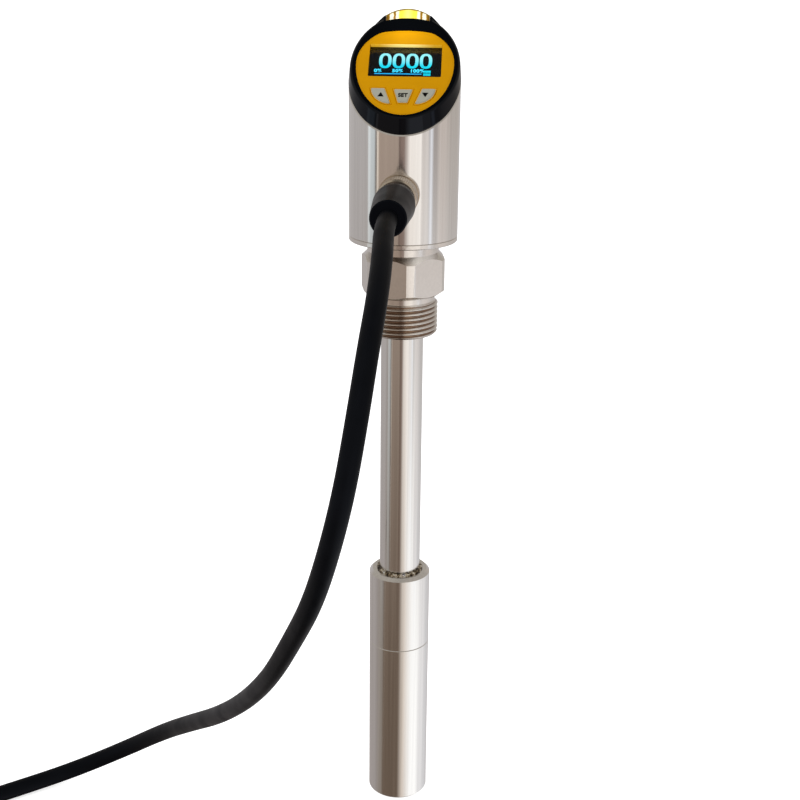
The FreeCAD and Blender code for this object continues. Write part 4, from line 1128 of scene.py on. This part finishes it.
    def display_digits(self) -> Piece:
        """Make the four noughts of the reading.

        Returns:
            The piece.
        """
        half = (self.digit_size_mm[0] / 2, self.digit_size_mm[1] / 2)
        inner = (half[0] - self.stroke_mm[0], half[1] - self.stroke_mm[1])
        centres = [(x, self.digit_y_mm) for x in self.digit_xs_mm]
        return self.plates("display_digits", DIGITS_CYAN, *[
            (self.egg(centre, half), *self.lit(), self.egg(centre, inner)) for centre in centres])

    def display_bar(self) -> Piece:
        """Bar under the reading."""
        return self.plates("display_bar", SCALE_BLUE, (self.rectangle(self.bar_mm), *self.lit()))

    def display_marks(self) -> Piece:
        """Marks over the bar's ends and middle."""
        return self.writing("display_marks", MARKS_CYAN, *[
            self.lettering(
                text, (x, self.mark_y_mm), self.mark_size_mm, self.glass_mm, weight=self.mark_weight)
            for text, x in self.marks])

    def display_unit(self) -> Piece:
        """Lit box behind the unit."""
        return self.plates("display_unit", DIGITS_CYAN, (self.rectangle(self.unit_box_mm), *self.lit()))

    def unit_letters(self) -> Piece:
        """Dark letters of the unit on their lit box."""
        left, right, low, high = self.unit_box_mm
        return self.writing("display_unit_letters", DISPLAY_GLASS, self.lettering(
            "mm", ((left + right) / 2, (low + high) / 2), self.mark_size_mm * self.unit_share,
            self.glass_mm + self.ink_mm))

    def window_edge(self) -> Piece:
        """Make the cut edge along the top of the window, which glows with painted light.

        Returns:
            The piece.
        """
        thick, low, high = self.edge_mm
        box = (-self.window_half_mm, self.window_half_mm, self.window_top_mm - thick, self.window_top_mm)
        return self.plates("window_edge", WINDOW_EDGE_PAINTED_GLOW, (self.rectangle(box), low, high))

    def gasket(self) -> Piece:
        """Foam strips between the display's upper end and the cap."""
        return self.plates("display_gasket", GASKET_BLACK, *[
            (self.rectangle(strip), *self.gasket_mm) for strip in self.gasket_strips_mm])

    def arrow(self, name: str, side: int) -> Piece:
        """Make the arrow head on an outer key.

        Args:
            name: name of the piece.
            side: -1 for the left key, whose arrow points up, and 1 for the right one.

        Returns:
            The piece.
        """
        x, y = side * self.arrow_place_mm[0], self.arrow_place_mm[1]
        wide, tall = self.arrow_size_mm[0] / 2, self.arrow_size_mm[1] / 2
        base = y + side * tall
        outline = [(x - wide, base), (x + wide, base), (x, y - side * tall)]
        return self.plates(name, LEGEND_BLACK, (outline, self.key_top_mm - self.ink_mm, self.key_top_mm))

    def set_legend(self) -> Piece:
        """Word on the middle key."""
        return self.writing("set_key_legend", LEGEND_BLACK, self.lettering(
            "SET", self.set_place_mm, self.set_size_mm, self.key_top_mm, self.set_squeeze, self.set_weight))

    def side_outline(self) -> list[Pair]:
        """Outline of the right key, with its bulging side as a smooth run of corners.

        Returns:
            Its corners.
        """
        *inner, start, end = [Vector(corner) for corner in self.side_outline_mm]
        bulge = Vector(self.side_bulge_mm)
        # A curve of second order through the bulge at its middle
        pull = bulge * 2 - (start + end) / 2
        steps = self.corners // 4
        curve = []
        for i in range(steps):
            share = i / (steps - 1)
            curve.append(start * (1 - share) ** 2 + pull * (2 * share * (1 - share)) + end * share ** 2)
        return [(point.x, point.y) for point in inner + curve]

    def grown(self, outline: Sequence[Pair], grow: float) -> list[Pair]:
        """Move the sides of an outline outwards.

        Args:
            outline: corners of a bulging outline, anticlockwise.
            grow: distance in mm.

        Returns:
            The new corners.
        """
        corners = [Vector(corner) for corner in outline]
        moved = []
        for i, corner in enumerate(corners):
            before = (corner - corners[i - 1]).normalized()
            after = (corners[(i + 1) % len(corners)] - corner).normalized()
            first, second = Vector((before.y, -before.x)), Vector((after.y, -after.x))
            way = (first + second).normalized()
            moved.append(tuple(corner + way * (grow / way.dot(first))))
        return moved

    def key_seats(self) -> Piece:
        """Make the film that shows in the gaps round the three keys, which glows with painted light.

        Returns:
            The piece.
        """
        right = self.side_outline()
        left = [(-x, y) for x, y in reversed(right)]
        near, far = self.seat_grow_mm
        return self.plates("key_seats", SEAT_PAINTED_GLOW, *[
            (self.grown(outline, far), *self.seat_mm, self.grown(outline, near))
            for outline in (left, self.set_outline_mm, right)])

    def light_ribs(self) -> Piece:
        """Make the ribs in the grooves of the light window, flush with its crown.

        Returns:
            The piece.
        """
        shape = bmesh.new()
        for middle in self.rib_xs_mm:
            share = (middle / self.light_half_mm) ** 2
            top = self.light_crown_mm * (1 - share) + self.rib_mm[1]
            front = self.light_front_mm[0] - self.light_front_mm[1] * share
            rear = math.sqrt(self.light_rear_r_mm ** 2 - (abs(middle) + self.rib_half_mm) ** 2)
            corners = []
            for x in (middle - self.rib_half_mm, middle + self.rib_half_mm):
                for y in (front, rear):
                    for height in (self.rib_mm[0], top):
                        along = (y + height * math.sin(FACE_SLOPE)) / math.cos(FACE_SLOPE)
                        corners.append(shape.verts.new(on_face((x, along), height)))
            bmesh.ops.convex_hull(shape, input=corners)
        return paint(piece_from("light_ribs", shape), LIGHT_YELLOW)

    def panel_outline(self, inset: float) -> list[Pair]:
        """Outline of the panel, moved inwards.

        Args:
            inset: distance in mm.

        Returns:
            Its corners.
        """
        points = []
        for i in range(2 * self.corners):
            angle = TAU * i / (2 * self.corners)
            half = 0 if math.sin(angle) > 0 else 1
            wide, tall = self.panel_half_mm - inset, self.panel_reach_mm[half] - inset
            across, upward = bulged(angle, self.panel_bulge[half])
            points.append((wide * across, tall * upward))
        return points

    def film_edge(self) -> Piece:
        """Fine line where the printed film ends, a little inside the panel's edge."""
        return self.plates("panel_film_edge", FILM_EDGE, (
            self.panel_outline(self.film_inset_mm), self.panel_surface_mm - self.ink_mm,
            self.panel_surface_mm + self.ink_mm, self.panel_outline(self.film_inset_mm + self.film_line_mm)))

    def dress(self) -> None:
        """Make everything drawn on the head and fix it to what carries it."""
        drawn = {
            "sensor": [(self.display_digits(), "display_black"), (self.display_bar(), "display_black"),
                       (self.display_marks(), "display_black"), (self.display_unit(), "display_black"),
                       (self.unit_letters(), "display_black"), (self.gasket(), "seal_black"),
                       (self.window_edge(), "panel_yellow"), (self.film_edge(), "panel_yellow"),
                       (self.key_seats(), "panel_yellow"), (self.light_ribs(), "light_yellow")],
            "up_key": [(self.arrow("up_key_legend", -1), "key_grey")],
            "set_key": [(self.set_legend(), "key_grey")],
            "down_key": [(self.arrow("down_key_legend", 1), "key_grey")],
        }
        for body, pieces in drawn.items():
            for piece, slot in pieces:
                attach(piece, body)
                LOG.info("%s: %d faces", piece.name, len(piece.data.polygons))


@dataclass
class Plug:
    """Plug of the cable: knurl on its coupling nut."""

    ridges: int = 60
    ridge_sides: int = 4
    ring_r_mm: float = 6.9
    ridge_r_mm: float = 0.3
    ridge_ends_mm: Pair = (24.2, 30.0)

    def knurl_tree(self) -> Tree:
        """Node tree of the knurl: four-sided ridges set round the nut.

        Returns:
            The tree.
        """
        tree, given = new_tree("nut_knurl", ("Ring Radius", "Ridge Radius", "Ridge Length"), {
            "Count": "NodeSocketInt", "Centre": "NodeSocketVector"})
        ring = add_node(tree, "GeometryNodeMeshCircle", {
            "Vertices": given["Count"], "Radius": given["Ring Radius"]})
        ridge = add_node(tree, "GeometryNodeMeshCylinder", {
            "Vertices": self.ridge_sides, "Radius": given["Ridge Radius"], "Depth": given["Ridge Length"]})
        index = add_node(tree, "GeometryNodeInputIndex")
        share = add_node(tree, "ShaderNodeMath", {0: index, 1: given["Count"]}, operation="DIVIDE")
        angle = add_node(tree, "ShaderNodeMath", {0: share, 1: TAU}, operation="MULTIPLY")
        turn = add_node(tree, "ShaderNodeCombineXYZ", {"Z": angle})
        ridges = add_node(tree, "GeometryNodeInstanceOnPoints", {
            "Points": ring, "Instance": ridge, "Rotation": turn})
        placed = add_node(tree, "GeometryNodeTransform", {
            "Geometry": ridges, "Rotation": (math.pi / 2, 0.0, -CONNECTOR_TURN),
            "Translation": given["Centre"]})
        close_tree(tree, placed, given["Material"])
        return tree

    def dress(self) -> None:
        """Set the ridges on the nut."""
        low, high = self.ridge_ends_mm
        out = (low + high) / 2
        centre = Vector((-out * math.sin(CONNECTOR_TURN), -out * math.cos(CONNECTOR_TURN), CONNECTOR_Z_MM))
        knurl = bake_nodes("nut_knurl", self.knurl_tree(), {
            "Count": self.ridges, "Ring Radius": self.ring_r_mm * MM, "Ridge Radius": self.ridge_r_mm * MM,
            "Ridge Length": (high - low) * MM, "Centre": tuple(centre * MM), "Material": NICKEL.material()})
        finish_mesh(knurl.data)
        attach(knurl, "coupling_nut")
        LOG.info("nut_knurl: %d faces", len(knurl.data.polygons))


@dataclass
class SignalCable:
    """Cable from the plug: a hanging loop, a run along the ground and a tied coil."""

    diameter_mm: float = 6.6
    length: float = 2.0
    lead_in_mm: float = 26.0
    coil_r_mm: float = 48.2
    coil_z_mm: float = -210.5
    tail_mm: float = 62.0
    tail_end_mm: float = -210.7
    # Shares of the tail's length, each with the share of its drop reached there
    tail_shares: tuple[Pair, ...] = ((0.15, 0.0), (0.42, 0.0), (0.68, 0.5), (0.86, 0.86), (1.0, 1.0))
    points_per_turn: int = 16
    spline_order: int = 3
    smoothness: int = 6
    route_mm: tuple[tuple[float, float, float], ...] = (
        (-1.832, -59.9611, 39.1623), (-2.2594, -73.9497, 38.7959), (-1.3, -91.5, 35.2), (-1.3, -111, 27.3),
        (-2.7, -128, 16), (-4.6, -141, 0.5), (-7.6, -148.6, -19), (-12.5, -147, -39.5), (-18.5, -137, -60),
        (-26.5, -122, -80.3), (-36.2, -104, -103.8), (-48.4, -84, -125.8), (-62.9, -62, -146.2),
        (-78.3, -40, -164), (-94.4, -21, -181), (-115, -8, -199),
        (-138, -9, -210), (-158, -21, -211.7), (-176, -35, -211.14))
    # Sweep in degrees, turn counted inwards from the outside, layer
    winding: tuple[tuple[float, float, float], ...] = (
        (0, 0, 0), (300, 0, 0), (360, 1, 0), (660, 1, 0), (720, 2, 0), (1020, 2, 0), (1080, 3, 0),
        (1320, 3, 0), (1380, 3, 1), (1620, 3, 1), (1680, 2, 1), (1980, 2, 1), (2040, 1, 1), (2287.9, 1, 1))

    def wound(self, sweep: float) -> Pair:
        """Turn and layer at a sweep.

        Args:
            sweep: degrees from the start of the coil.

        Returns:
            Turn counted inwards, and layer.
        """
        for (start, turn_a, layer_a), (end, turn_b, layer_b) in zip(self.winding, self.winding[1:]):
            if sweep <= end:
                share = (sweep - start) / (end - start)
                smooth = share * share * (3 - 2 * share)
                return turn_a + (turn_b - turn_a) * smooth, layer_a + (layer_b - layer_a) * smooth
        return self.winding[-1][1], self.winding[-1][2]

    def points(self) -> list[Vector]:
        """Control points of the whole cable in mm.

        Returns:
            The route, the coil's turns and the tail.
        """
        route = [Vector(point) for point in self.route_mm]
        way = (route[-1] - route[-2]) * Vector((1, 1, 0))
        way.normalize()
        join = route[-1] + way * self.lead_in_mm
        join.z = self.coil_z_mm
        centre = join + Vector((way.y, -way.x, 0)) * self.coil_r_mm
        start = math.atan2(join.y - centre.y, join.x - centre.x)
        # A spline of order 3 runs inside its points by this share
        outside = 1 / math.cos(math.pi / self.points_per_turn)
        step = 360 / self.points_per_turn
        sweep = step / 2
        while sweep < self.winding[-1][0] - step / 2:
            turn, layer = self.wound(sweep)
            radius = (self.coil_r_mm - self.diameter_mm * turn) * outside
            angle = start - math.radians(sweep)
            rise = Vector((0, 0, self.diameter_mm * layer))
            route.append(centre + Vector((math.cos(angle), math.sin(angle), 0)) * radius + rise)
            sweep += step
        turn, layer = self.wound(self.winding[-1][0])
        angle = start - math.radians(self.winding[-1][0])
        out = Vector((math.cos(angle), math.sin(angle), 0))
        leave = centre + out * (self.coil_r_mm - self.diameter_mm * turn)
        leave.z += self.diameter_mm * layer
        along = Vector((out.y, -out.x, 0))
        drop = leave.z - self.tail_end_mm
        level = math.sqrt(self.tail_mm ** 2 - drop ** 2)
        for share, fall in self.tail_shares:
            route.append(leave + along * (level * share) - Vector((0, 0, drop * fall)))
        return route

    def dress(self) -> None:
        curve = bpy.data.curves.new("signal_cable", "CURVE")
        curve.dimensions = "3D"
        route = self.points()
        spline = curve.splines.new("NURBS")
        spline.points.add(len(route) - 1)
        for point, place in zip(spline.points, route):
            point.co = (*(place * MM), 1.0)
        spline.order_u = self.spline_order
        spline.use_endpoint_u = True
        spline.resolution_u = self.smoothness
        curve.bevel_depth = self.diameter_mm / 2 * MM
        curve.bevel_resolution = self.smoothness
        curve.use_fill_caps = True
        cable = paint(link("signal_cable", curve), CABLE_BLACK)
        # The metal's mirror image of the run beside it would depend on how the cable happens to lie
        cable.visible_glossy = False
        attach(cable, "sensor")
        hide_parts("cable", "cable_coil")
        LOG.info("signal_cable: %d control points", len(route))


@dataclass(frozen=True)
class Panel:
    """Light panel or dark flag that stands round the sensor, as its metal mirrors it."""

    name: str
    left: float
    right: float
    colour: str
    strength: float = 1.0


@dataclass
class Studio:
    """White studio: floor, light and camera at the photograph's place."""

    lens_mm: float = 59.62
    sensor_mm: float = 36.0
    near: float = 0.01
    camera_distance_mm: float = 481.8
    camera_height_mm: float = 122.58
    camera_azimuth: float = 3.0
    camera_turn: float = 3.065
    camera_pitch: float = 18.949
    camera_roll: float = 0.592
    floor_mm: float = -215.2
    floor_reach: float = 30.0
    floor_colour: str = "F2F2F2"
    floor_lift: float = 0.7
    soft_light: float = 0.78
    white: str = "FFFFFF"
    # Edges are azimuths in degrees from the front, towards +X, and the light blends across the gaps
    walls: tuple[Panel, ...] = (
        Panel("left wall", -180, -78, "C9C5C5"),
        Panel("window edge", -75.5, -72.5, "F4FBFF", 1.15),
        Panel("window", -70.5, -61, "E4EDF2"),
        Panel("window frame", -57.3, -56.2, "8A8480"),
        Panel("door edge", -54.8, -52.6, "FFF3E6", 1.15),
        Panel("shelf", -50.5, -8.4, "C1AFA2"),
        Panel("dark flag", -7.4, -4.8, "85736C"),
        Panel("brown flag", -3.8, 4, "9D8880"),
        Panel("key panel", 15, 39.6, "FFFAF6", 1.27),
        Panel("fill panel", 40.8, 55, "E4DCD8"),
        Panel("frame shadow", 57, 58.4, "C4C0C4"),
        Panel("right window", 60.2, 63.4, "F2F5FF", 1.1),
        Panel("right wall", 67, 73, "A89E9A"),
        Panel("right door", 85, 96, "D8CCC5"),
        Panel("far wall", 119, 150, "C4BCB6"),
        Panel("rear wall", 165, 180, "C9C5C5"),
    )
    table: tuple[Panel, ...] = (
        Panel("left table", -180, -100, "B3ACAA"),
        Panel("table edge", -77, -68, "9C9289"),
        Panel("shaded table", -61, 0, "766659"),
        Panel("warm table", 20, 22, "EFE3D8"),
        Panel("lit table", 52, 80, "FCFDFE", 1.45),
        Panel("right table", 92, 108, "FAFAFD", 1.15),
        Panel("far table", 131, 140, "EAEAEE"),
        Panel("rear table", 178, 180, "B3ACAA"),
    )
    # Rises of a mirrored ray between which the walls give way to the table, then, in turn, to the dark
    # below it, the upper wall and the ceiling
    table_rise: Pair = (-0.10, -0.50)
    zones: tuple[tuple[float, float, str], ...] = (
        (-0.86, -0.94, "2E241C"), (0.15, 0.40, "B8B2AA"), (0.90, 0.96, "4A4A4A"))

    def ring(self, tree: Tree, azimuth: Node, panels: Sequence[Panel]) -> Node:
        """Ring of panels round the sensor.

        Args:
            tree: node tree of the world.
            azimuth: direction of the ray, 0 to 1 all round from behind.
            panels: the panels from left to right.

        Returns:
            A ramp with the light of every direction.
        """
        stops = []
        for panel in panels:
            light = tuple(c * panel.strength for c in linear(panel.colour)[:3]) + (1.0,)
            stops += [((edge + 180) / 360, light) for edge in (panel.left, panel.right)]
        return set_ramp(add_node(tree, "ShaderNodeValToRGB", {"Fac": azimuth}), stops)

    def world(self) -> None:
        """Soft even light, white to the camera, with upright panels and a table for the metal to mirror."""
        world = bpy.data.worlds.new("studio")
        world.use_nodes = True
        bpy.context.scene.world = world
        tree = world.node_tree
        tree.nodes.clear()

        def blend(share: Value, first: Value, second: Value) -> Socket:
            """Light that is the first at a share of 0 and the second at 1."""
            mixed = add_node(tree, "ShaderNodeMix", {
                "Factor": share, MIX_A: first, MIX_B: second}, data_type="RGBA")
            return mixed.outputs[MIXED]

        place = add_node(tree, "ShaderNodeTexCoord").outputs["Generated"]
        parts = add_node(tree, "ShaderNodeSeparateXYZ", {"Vector": place})
        front = add_node(tree, "ShaderNodeMath", {0: parts.outputs["Y"], 1: -1.0}, operation="MULTIPLY")
        angle = add_node(tree, "ShaderNodeMath", {0: parts.outputs["X"], 1: front}, operation="ARCTAN2")
        azimuth = add_node(tree, "ShaderNodeMapRange", {
            "Value": angle, "From Min": -math.pi, "From Max": math.pi})
        room: Value = self.ring(tree, azimuth, self.walls)
        for start, end, light in ((*self.table_rise, self.ring(tree, azimuth, self.table)),
                                  *((start, end, linear(colour)) for start, end, colour in self.zones)):
            share = add_node(tree, "ShaderNodeMapRange", {
                "Value": parts.outputs["Z"], "From Min": start, "From Max": end})
            room = blend(share, room, light)
        path = add_node(tree, "ShaderNodeLightPath")
        soft = linear(self.white)
        bent = add_node(tree, "ShaderNodeMath", {
            0: path.outputs["Is Glossy Ray"], 1: path.outputs["Is Transmission Ray"]}, operation="MAXIMUM")
        mirrored = blend(bent, tuple(c * self.soft_light for c in soft), room)
        seen = blend(path.outputs["Is Camera Ray"], mirrored, soft)
        light = add_node(tree, "ShaderNodeBackground", {"Color": seen, "Strength": 1.0})
        add_node(tree, "ShaderNodeOutputWorld", {"Surface": light})

    def floor(self) -> None:
        """Pale floor, lifted to white for the camera."""
        shape = bmesh.new()
        bmesh.ops.create_grid(shape, x_segments=1, y_segments=1, size=self.floor_reach)
        bmesh.ops.translate(shape, verts=shape.verts, vec=(0, 0, self.floor_mm * MM))
        mesh = bpy.data.meshes.new("floor")
        shape.to_mesh(mesh)
        shape.free()
        floor = link("floor", mesh)
        # The metal mirrors the studio's panels in place of the floor
        floor.visible_glossy = False
        made = bpy.data.materials.new("floor_white")
        made.use_nodes = True
        tree = made.node_tree
        tree.nodes.clear()
        path = add_node(tree, "ShaderNodeLightPath")
        diffuse = add_node(tree, "ShaderNodeBsdfDiffuse", {"Color": linear(self.floor_colour)})
        lift = add_node(tree, "ShaderNodeMath", {
            0: path.outputs["Is Camera Ray"], 1: path.outputs["Is Transmission Ray"]}, operation="MAXIMUM")
        strength = add_node(tree, "ShaderNodeMath", {0: lift, 1: self.floor_lift}, operation="MULTIPLY")
        glow = add_node(tree, "ShaderNodeEmission", {"Color": linear(self.white), "Strength": strength})
        both = add_node(tree, "ShaderNodeAddShader", {0: diffuse, 1: glow})
        add_node(tree, "ShaderNodeOutputMaterial", {"Surface": both})
        mesh.materials.append(made)

    def lamp(self, name: str, size: float, energy: float, place: Vector, aim: Vector) -> None:
        """Soft round lamp, which the metal doesn't mirror.

        Args:
            name: name of the lamp.
            size: its diameter in metres.
            energy: its power in watts.
            place: where it hangs.
            aim: the point it lights.
        """
        lamp = bpy.data.lights.new(name, "AREA")
        lamp.shape = "DISK"
        lamp.size = size
        lamp.energy = energy
        holder = link(name, lamp)
        holder.location = place
        holder.rotation_euler = (aim - place).to_track_quat("-Z", "Y").to_euler()
        holder.visible_camera = False
        holder.visible_glossy = False
        holder.visible_transmission = False

    def lamps(self) -> None:
        """One large lamp in front and above, and a small one for the light window's glow on the face."""
        self.lamp("softbox", size=0.6, energy=3.2, place=Vector((-0.25, -0.55, 0.75)),
                  aim=Vector((0.0, 0.0, 0.02)))
        self.lamp("window glow", size=0.012, energy=0.0011, place=on_face((0.0, 16.4), 9.5),
                  aim=on_face((0.0, 15.8), 0.0))

    def camera(self) -> None:
        """Camera at the photograph's viewing angle."""
        lens = bpy.data.cameras.new("camera")
        lens.lens = self.lens_mm
        lens.sensor_width = self.sensor_mm
        lens.clip_start = self.near
        camera = link("camera", lens)
        azimuth = math.radians(self.camera_azimuth)
        reach = self.camera_distance_mm * MM
        camera.location = (reach * math.sin(azimuth), -reach * math.cos(azimuth), self.camera_height_mm * MM)
        turn = Matrix.Rotation(math.radians(self.camera_turn), 4, "Z")
        tilt = Matrix.Rotation(math.radians(90 - self.camera_pitch), 4, "X")
        roll = Matrix.Rotation(math.radians(self.camera_roll), 4, "Z")
        camera.rotation_euler = (turn @ tilt @ roll).to_euler()
        bpy.context.scene.camera = camera

    def dress(self) -> None:
        """Set up the whole studio."""
        self.world()
        self.floor()
        self.lamps()
        self.camera()
        bpy.context.scene.view_settings.view_transform = "Standard"
        LOG.info("studio set up")


def dress_nodes() -> None:
    """Give every CAD node its finish."""
    for name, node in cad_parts.items():
        paint(node, NODE_FINISHES[name])
        LOG.info("%s: %s", name, NODE_FINISHES[name].name)


def main() -> None:
    """Dress the sensor piece by piece."""
    logging.basicConfig(level=logging.INFO, format="%(name)s: %(message)s")
    Studio().dress()
    SignalCable().dress()
    dress_nodes()
    for part in (ProcessFitting(), Probe(), Head(), Plug()):
        part.dress()


if __name__ == "__main__":
    main()
